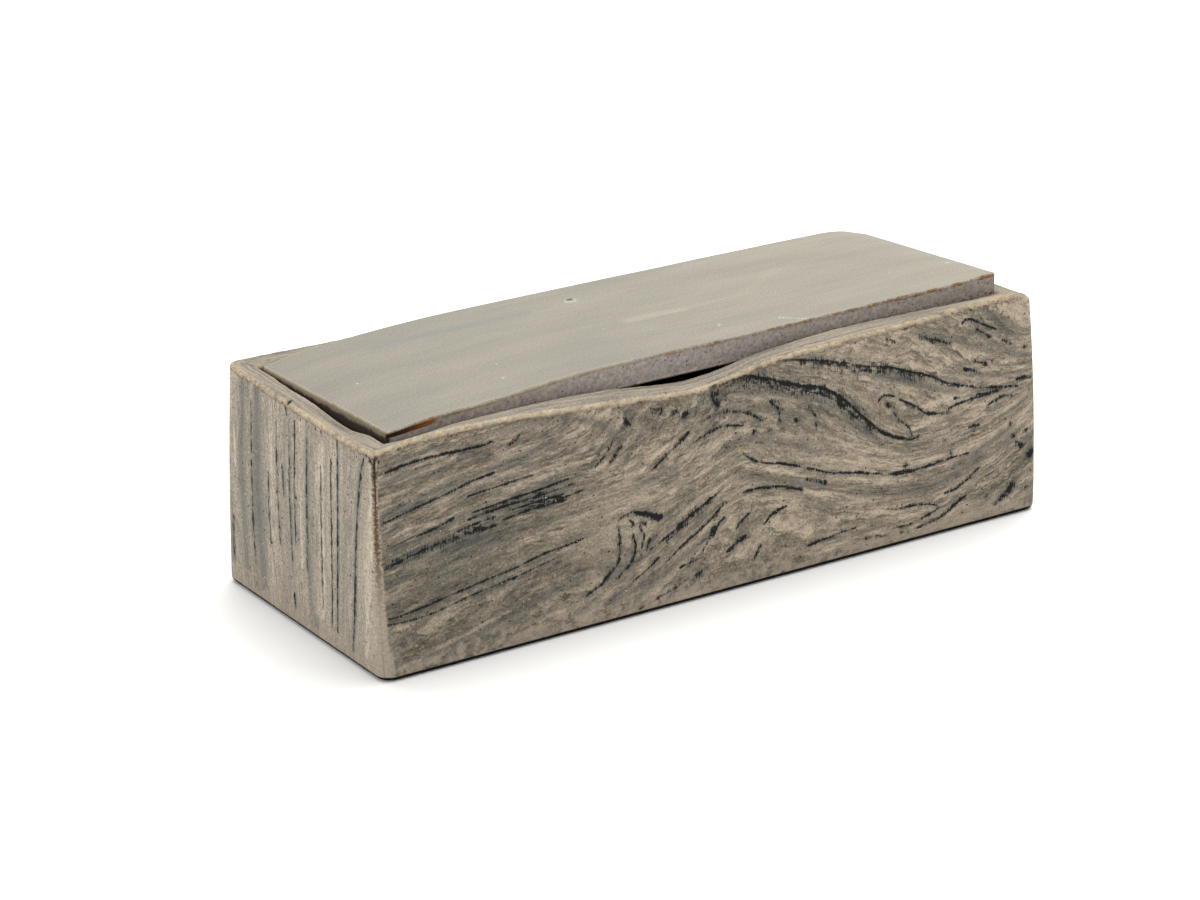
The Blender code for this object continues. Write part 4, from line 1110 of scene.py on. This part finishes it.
def buildLid():
    halfX = shape["length"] / 2 - shape["wall"] - shape["clearance"]
    halfY = shape["width"] / 2 - shape["wall"] - shape["clearance"]
    edge = lidSettings["edge"]
    pinX, pinY = lidSettings["pinhole"]
    xs = nearEdges(halfX, edge, lidSettings["step"], (pinX,))
    ys = nearEdges(halfY, edge, lidSettings["step"], (pinY,))

    def plan(x, y):
        for sideX, sideY in ((-1, -1), (-1, 1), (1, -1)):
            x, y = roundCorner(x, y, halfX, halfY, lidSettings["smallCorner"], sideX, sideY)
        x, y = roundCorner(x, y, halfX, halfY, lidSettings["corner"], 1, 1)
        return leaned(x, y, shape["leanHeight"])[:2]

    def drop(x, y):
        return roundedDrop(x, y, halfX, halfY, edge)

    def upper(x, y):
        z = lidTop(x, y)
        away = np.hypot(x - pinX, y - pinY)
        lipHeight, lipRadius, lipWidth = lidSettings["lip"]
        holeDepth, holeRadius = lidSettings["hole"]
        z = z + lipHeight * np.exp(-((away - lipRadius) / lipWidth) ** 2)
        z = z - holeDepth * np.exp(-(away / holeRadius) ** 4)
        flat = np.stack([x, y, x * 0], 1)
        return z - 0.05 * (1 + wobble(flat * (0.35, 1, 1), 5.0, 5)) - 0.02 * (1 + wobble(flat, 1.3, 6))

    def lower(x, y):
        return lidTop(x, y) - shape["lid"]

    points, local, faces = slabMesh(xs, ys, upper, lower, plan, drop, lidSettings["sideRows"])
    side = (local[:, 2] > edge * 0.9) & (local[:, 2] < shape["lid"] - edge * 0.9)
    rough = wobble(points, 1.8, 8) * 0.10 + wobble(points, 0.7, 9) * 0.05
    frontSide = side & (np.abs(local[:, 1] + halfY) < 0.01)
    backSide = side & (np.abs(local[:, 1] - halfY) < 0.01)
    points[frontSide, 1] += (lidSettings["sideInset"] + rough)[frontSide]
    points[backSide, 1] -= (lidSettings["sideInset"] + rough)[backSide]
    points = insideBox(points, "lid_slab")
    x, y = local[:, 0], local[:, 1]
    inset = np.minimum(halfX - np.abs(x), halfY - np.abs(y))
    flat = local[:, :2]
    grey, cream, white = [
        np.clip(strokeField(lidSettings[key], flat, feather)[0], 0, 1)
        for key, feather in (("greyBrush", 1.4), ("creamBrush", 1.6), ("scratches", 0.16))]
    away = np.hypot(x - pinX, y - pinY + 0.15)
    # painted highlight: a pale ring on the pinhole's lip, stronger on its lower side, joins the scratch marks
    white = np.maximum(white, 0.5 * np.exp(-((away - 1.15) / 0.35) ** 2) * (0.4 + 0.6 * (y < pinY)))
    front = y < 0
    brown = np.where(front, np.clip(0.45 + (x + 16) / 40, 0.45, 1), 0.15)
    brown = np.maximum(brown, np.where((y < 1.2 - halfY) & (x < -60), np.clip((-60 - x) / 4, 0, 0.9), 0))
    brown = np.where((x > halfX - 1.2), 0.6, brown)
    creamEdge = np.where(front, np.clip((-16 - x) / 6, 0, 0.45) * np.clip((x + 60) / 4, 0.2, 1), 0.5)
    creamEdge = np.where(x < -halfX + 1.2, 0.7, creamEdge)
    share = (x + halfX) / (halfX + lidSettings["runEnd"])
    below = local[:, 2]
    onSide = np.clip((below - edge * 0.35) / 0.2, 0, 1) * np.clip((1.5 + 0.3 * share - below) / 0.5, 0, 1)
    run = np.where(y < 0.3 - halfY, np.clip((1.1 - share) / 0.25, 0, 1), 0) * onSide
    piece = addMesh("lid_slab_glazed", points, faces, lidMaterial(), {
        "place": np.stack([x, y, local[:, 2]], 1), "edge": inset + local[:, 2] * 0.6,
        "marks": np.stack([grey, cream, white], 1), "brown": brown, "cream": creamEdge, "run": run,
        "hole": np.clip(1.6 - np.hypot(x - pinX, y - pinY) / 0.45, 0, 1) * (local[:, 2] < 1)})
    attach(piece, "lid")
    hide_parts("lid_slab")
    print("lid", len(faces), "faces")


buildLid()


# A geometry node tree with named inputs; returns it with its two ends
def newTree(name, inputs):
    group = bpy.data.node_groups.new(name, "GeometryNodeTree")
    group.interface.new_socket(name="Geometry", in_out="INPUT", socket_type="NodeSocketGeometry")
    for socketName, kind, value in inputs:
        socket = group.interface.new_socket(name=socketName, in_out="INPUT", socket_type="NodeSocket" + kind)
        if value is not None:
            socket.default_value = value
    group.interface.new_socket(name="Geometry", in_out="OUTPUT", socket_type="NodeSocketGeometry")
    return group, group.nodes.new("NodeGroupInput"), group.nodes.new("NodeGroupOutput")


# Puts the finish on a tree's end: instances made real, then the material
def finishTree(group, ends, out, geometry):
    real = addNode(group, "GeometryNodeRealizeInstances", {0: geometry})
    dress = addNode(group, "GeometryNodeSetMaterial", {
        "Geometry": real.outputs[0], "Material": ends.outputs["Material"]})
    put(group, out.inputs[0], dress.outputs[0])
    return group


# Runs a strip of clay of any section along +Z and presses it with a thumb, row by row
def pressedStripTree():
    group, ends, out = newTree("pressedStrip", [
        ("Length", "Float", 50.0), ("Steps", "Int", 60), ("Press", "Float", 0.12), ("Thumb", "Float", 8.0),
        ("Seed", "Float", 1.0), ("Material", "Material", None)])
    section = addNode(group, "GeometryNodeMeshToCurve", {"Mesh": ends.outputs["Geometry"]})
    tip = vector(group, 0.0, 0.0, ends.outputs["Length"])
    line = addNode(group, "GeometryNodeCurvePrimitiveLine", {"End": tip})
    fine = addNode(group, "GeometryNodeResampleCurve", {
        "Curve": line.outputs[0], "Count": ends.outputs["Steps"]})
    sweep = addNode(group, "GeometryNodeCurveToMesh", {
        "Curve": fine.outputs[0], "Profile Curve": section.outputs[0], "Fill Caps": True})
    where = group.nodes.new("GeometryNodeInputPosition").outputs[0]
    x, y, z = split(group, where)
    turn = maths(group, "DIVIDE", times(group, z, 2 * math.pi), ends.outputs["Thumb"])
    uneven = group.nodes.new("ShaderNodeTexNoise")
    uneven.noise_dimensions = "4D"
    put(group, uneven.inputs["Vector"], where)
    put(group, uneven.inputs["W"], ends.outputs["Seed"])
    put(group, uneven.inputs["Scale"], 0.35)
    shifted = plus(group, turn, times(group, uneven.outputs[0], 3.0))
    thumb = plus(group, times(group, maths(group, "COSINE", shifted), 0.35), uneven.outputs[0])
    share = times(group, thumb, ends.outputs["Press"], -1.0)
    offset = vector(group, times(group, x, share), times(group, y, share), 0.0)
    move = addNode(group, "GeometryNodeSetPosition", {"Geometry": sweep.outputs[0], "Offset": offset})
    return finishTree(group, ends, out, move.outputs[0])


# Half-buried grains of grog over a surface, without the surface
def scatteredGritTree():
    group, ends, out = newTree("scatteredGrit", [
        ("Density", "Float", 100000.0), ("Smallest", "Float", 0.00008), ("Largest", "Float", 0.0002),
        ("Seed", "Int", 1), ("Material", "Material", None)])
    facing = split(group, group.nodes.new("GeometryNodeInputNormal").outputs[0])[2]
    scatter = addNode(group, "GeometryNodeDistributePointsOnFaces", {
        "Mesh": ends.outputs["Geometry"], "Density": ends.outputs["Density"], "Seed": ends.outputs["Seed"],
        "Selection": maths(group, "GREATER_THAN", facing, -0.3)})
    ball = addNode(group, "GeometryNodeMeshIcoSphere", {"Radius": 1.0, "Subdivisions": 1})
    size = group.nodes.new("FunctionNodeRandomValue")
    size.data_type = "FLOAT"
    for key, name in ((2, "Smallest"), (3, "Largest"), ("Seed", "Seed")):
        put(group, size.inputs[key], ends.outputs[name])
    squash = vector(group, size.outputs[1], size.outputs[1], times(group, size.outputs[1], 0.55))
    grains = addNode(group, "GeometryNodeInstanceOnPoints", {
        "Points": scatter.outputs["Points"], "Instance": ball.outputs[0],
        "Rotation": scatter.outputs["Rotation"], "Scale": squash})
    return finishTree(group, ends, out, grains.outputs[0])


# The plain mesh that a node tree makes from an object
def grown(obj, tree, **values):
    modifier = obj.modifiers.new(tree.name, "NODES")
    modifier.node_group = tree
    for item in tree.interface.items_tree:
        if item.in_out == "INPUT" and item.name in values:
            modifier[item.identifier] = values[item.name]
    bpy.context.view_layer.update()
    made = bpy.data.meshes.new_from_object(obj.evaluated_get(bpy.context.evaluated_depsgraph_get()))
    obj.modifiers.clear()
    return made


# Grains of grog pressed into a piece, as part of its own mesh
def addGrit(piece, density, smallest, largest, seed):
    grains = grown(piece, scatteredGrit, Density=density, Smallest=smallest, Largest=largest, Seed=seed,
                   Material=grit)
    bm = bmesh.new()
    bm.from_mesh(piece.data)
    clayFaces = len(bm.faces)
    bm.from_mesh(grains)
    bm.faces.ensure_lookup_table()
    for face in bm.faces[clayFaces:]:
        face.material_index = 1
    bm.to_mesh(piece.data)
    bm.free()
    piece.data.materials.append(grit)
    bpy.data.meshes.remove(grains)


# Plain inside clay: the same marbled body, smeared by the fingers
def insideMaterial(name, seed, slope, calm, tint):
    material, tree, shader = startMaterial(name)
    where = tree.nodes.new("ShaderNodeTexCoord").outputs["Object"]
    scaled = tree.nodes.new("ShaderNodeVectorMath")
    scaled.operation = "SCALE"
    put(tree, scaled.inputs[0], where)
    scaled.inputs["Scale"].default_value = 1 / mm
    place = scaled.outputs[0]
    x, y, z = split(tree, place)
    flow = plus(tree, times(tree, x, slope[0]), times(tree, y, slope[1]))
    flow = plus(tree, flow, times(tree, z, slope[2]))
    clay = useGroup(tree, marbledClay, Place=place, Flow=flow, Calm=calm, Wild=0.9, Tone=0.02, Seed=seed)
    colour = blend(tree, 1.0, clay.outputs["Color"], tint, "MULTIPLY")
    put(tree, shader.inputs["Base Color"], colour)
    shader.inputs["Roughness"].default_value = 0.88
    shader.inputs["Specular IOR Level"].default_value = 0.12
    addBump(tree, shader, clay.outputs["Relief"], 0.6, 0.25)
    return material


def gritMaterial():
    material, tree, shader = startMaterial("grogGrains")
    where = tree.nodes.new("ShaderNodeTexCoord").outputs["Object"]
    shade = grain(tree, where, 2500.0, 1.0)
    colour = ramp(tree, shade, [
        (0.42, (0.05, 0.04, 0.03)), (0.5, (0.30, 0.25, 0.19)), (0.62, (0.50, 0.44, 0.35))])
    put(tree, shader.inputs["Base Color"], colour)
    shader.inputs["Roughness"].default_value = 0.8
    return material


pressedStrip = pressedStripTree()
scatteredGrit = scatteredGritTree()
grit = gritMaterial()
coilClay = insideMaterial("coilClay", 41.0, (0.5, 0.5, 0.7), 0.55, (1.15, 1.12, 1.08))
ledgeClay = insideMaterial("ledgeClay", 47.0, (0.8, 0.15, 0.9), 0.5, (1.2, 1.18, 1.12))
baseClay = insideMaterial("baseClay", 53.0, (0.12, 0.9, 0.0), 0.25, (1.1, 1.08, 1.04))

stripSettings = {
    "coil": {"size": 4.0, "steps": 130, "press": 0.16, "thumb": 7.5},
    "seam": {"size": 4.0, "steps": 50, "press": 0.18, "thumb": 6.0},
    "ledge": {"width": 5.0, "thickness": 5.0, "steps": 70, "press": 0.05, "thumb": 6.5},
    "grit": (150000.0, 0.00007, 0.0002),    # grains to a square metre, smallest and largest in metres
}
baseSettings = {"edge": 0.5, "stepX": 0.9, "stepY": 0.7, "sideRows": 6, "grit": (90000.0, 0.00008, 0.00022)}


def sectionObject(points):
    mesh = bpy.data.meshes.new("section")
    count = len(points)
    mesh.from_pydata([(a, b, 0.0) for a, b in points], [(i, (i + 1) % count) for i in range(count)], [])
    obj = bpy.data.objects.new("section", mesh)
    bpy.context.scene.collection.objects.link(obj)
    return obj


# Corner, foot leg, hollow face and wall leg of a pressed coil
def filletSection(size):
    points = [(0.0, 0.0), (size * 0.5, 0.0), (size * 0.98, 0.0), (size, size * 0.03)]
    for i in range(1, 12):
        t = i / 12
        a = size * ((1 - t) ** 2 + 2 * t * (1 - t) * 0.3)
        b = size * (t ** 2 + 2 * t * (1 - t) * 0.3)
        points.append((a, max(b, size * 0.03 * (1 - t))))
    return points + [(size * 0.03, size), (0.0, size * 0.98), (0.0, size * 0.5)]


def ledgeSection(width, thickness):
    soft = 0.8
    points = [(0.0, 0.0), (width * 0.5, 0.0)]
    for corner, start in (((width - soft, soft), -90), ((width - soft, thickness - soft), 0)):
        for degrees in (0, 22, 45, 68, 90):
            turn = math.radians(start + degrees)
            points.append((corner[0] + soft * math.cos(turn), corner[1] + soft * math.sin(turn)))
    return points + [(width * 0.5, thickness), (0.0, thickness), (0.0, thickness * 0.5)]


# Grows a straight pressed strip and bends it into its place in the box
def buildStrip(node, section, length, settings, seed, material, bend):
    source = sectionObject(section)
    made = grown(source, pressedStrip, Length=float(length), Steps=settings["steps"], Press=settings["press"],
                 Thumb=settings["thumb"], Seed=float(seed), Material=material)
    bpy.data.objects.remove(source)
    flat = np.empty(len(made.vertices) * 3)
    made.vertices.foreach_get("co", flat)
    a, b, s = flat.reshape(-1, 3).T
    points = insideBox(np.stack(bend(a, b, s), 1), node)
    faces = [tuple(face.vertices) for face in made.polygons]
    bpy.data.meshes.remove(made)
    piece = addMesh(node + "_clay", points, faces, material)
    addGrit(piece, *stripSettings["grit"], int(seed))
    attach(piece, "box")
    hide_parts(node)


def ledgeBottom(sideX, y):
    top = lidTop(sideX * (shape["length"] / 2 - shape["wall"]), y) - shape["lid"] - shape["gap"]
    return top - stripSettings["ledge"]["thickness"]


def buildInside():
    wall, gap, base = shape["wall"], shape["gap"], shape["base"]
    halfX, halfY = shape["length"] / 2 - wall - gap, shape["width"] / 2 - wall - gap
    coil = stripSettings["coil"]
    for number, side in enumerate(("front", "back", "left", "right")):
        half = halfX if side in ("front", "back") else halfY

        def bendFloor(a, b, s):
            along = (s / half - 1) * (half - a - gap / math.sqrt(2))
            return placed(side, along, wall + gap + a, base + gap + b)

        buildStrip("floor_coil_" + side, filletSection(coil["size"]), 2 * half, coil, 60 + number, coilClay,
                   bendFloor)
    seam = stripSettings["seam"]
    low = base + seam["size"] + 2 * gap
    for sideX, endName in ((-1, "left"), (1, "right")):
        for sideY, faceName in ((-1, "front"), (1, "back")):
            cornerX, cornerY = sideX * halfX, sideY * halfY
            high = float(ledgeBottom(sideX, cornerY)) - gap

            def bendSeam(a, b, s):
                return leaned(cornerX - sideX * a, cornerY - sideY * b, low + s)

            buildStrip(f"seam_coil_{faceName}_{endName}", filletSection(seam["size"]), high - low, seam,
                       70 + sideX * 2 + sideY, coilClay, bendSeam)
        ledge = stripSettings["ledge"]

        def bendLedge(a, b, s):
            y = s - halfY
            return leaned(sideX * (halfX - a), y, ledgeBottom(sideX, y) + b)

        buildStrip("lid_ledge_" + endName, ledgeSection(ledge["width"], ledge["thickness"]), 2 * halfY, ledge,
                   80 + sideX, ledgeClay, bendLedge)

    edge = baseSettings["edge"]

    def plan(x, y):
        return leaned(x, y, base)[:2]

    def drop(x, y):
        return roundedDrop(x, y, halfX, halfY, edge)

    def upper(x, y):
        flat = np.stack([x, y, x * 0], 1)
        drag = 0.12 * (1 + wobble(flat * (0.5, 1, 1), 6.0, 31)) / 2
        return base - drag - 0.05 * (1 + wobble(flat, 1.5, 32)) / 2

    def lower(x, y):
        flat = np.stack([x, y, x * 0], 1)
        drag = np.sin(np.hypot(x + 140, y) * 2.6 + wobble(flat, 14.0, 33) * 3)
        return 0.03 * (1 + drag) + 0.02 * (1 + wobble(flat, 1.8, 34))

    xs, ys = nearEdges(halfX, edge, baseSettings["stepX"]), nearEdges(halfY, edge, baseSettings["stepY"])
    points, faces = slabMesh(xs, ys, upper, lower, plan, drop, baseSettings["sideRows"])[::2]
    piece = addMesh("base_slab_clay", insideBox(points, "base_slab"), faces, baseClay)
    addGrit(piece, *baseSettings["grit"], 5)
    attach(piece, "box")
    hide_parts("base_slab")
    print("inside built")


buildInside()


# Floor, light and camera, in metres
studioSettings = {
    "floorSize": 8.0, "floorColour": (0.92, 0.92, 0.905), "floorRoughness": 0.9, "world": 0.86,
    "lamps": [("overhead", (0.45, 0.3, 1.4), 1.6, 26.0), ("leftSideShade", (-1.5, -0.1, 0.5), 0.8, 5.0)],
    "lampAim": (0, 0, 0.03), "lens": 126.0, "sensor": 36.0,
    "cameraAt": (-0.4523, -0.6658, 0.3399), "cameraFacing": (0.5143, 0.7744, -0.3686),
}
bpy.ops.mesh.primitive_plane_add(size=studioSettings["floorSize"], location=(0, 0, 0))
floor = bpy.context.object
floor.name = "floor"
paleFloor, floorTree, floorShader = startMaterial("paleFloor")
floorShader.inputs["Base Color"].default_value = (*studioSettings["floorColour"], 1.0)
floorShader.inputs["Roughness"].default_value = studioSettings["floorRoughness"]
floor.data.materials.append(paleFloor)

world = bpy.data.worlds.new("studio")
world.use_nodes = True
sky = world.node_tree.nodes["Background"]
sky.inputs["Color"].default_value = (1.0, 1.0, 1.0, 1.0)
sky.inputs["Strength"].default_value = studioSettings["world"]
bpy.context.scene.world = world
for name, place, size, power in studioSettings["lamps"]:
    lamp = bpy.data.lights.new(name, "AREA")
    lamp.shape = "SQUARE"
    lamp.size = size
    lamp.energy = power
    holder = bpy.data.objects.new(name, lamp)
    holder.location = place
    aim = Vector(studioSettings["lampAim"]) - Vector(place)
    holder.rotation_euler = aim.to_track_quat("-Z", "Y").to_euler()
    bpy.context.scene.collection.objects.link(holder)

camera = bpy.data.cameras.new("camera")
camera.lens = studioSettings["lens"]
camera.sensor_width = studioSettings["sensor"]
cameraHolder = bpy.data.objects.new("camera", camera)
cameraHolder.location = studioSettings["cameraAt"]
cameraHolder.rotation_euler = Vector(studioSettings["cameraFacing"]).to_track_quat("-Z", "Y").to_euler()
bpy.context.scene.collection.objects.link(cameraHolder)
bpy.context.scene.camera = cameraHolder
bpy.context.scene.view_settings.view_transform = "Standard"
print("studio ready")
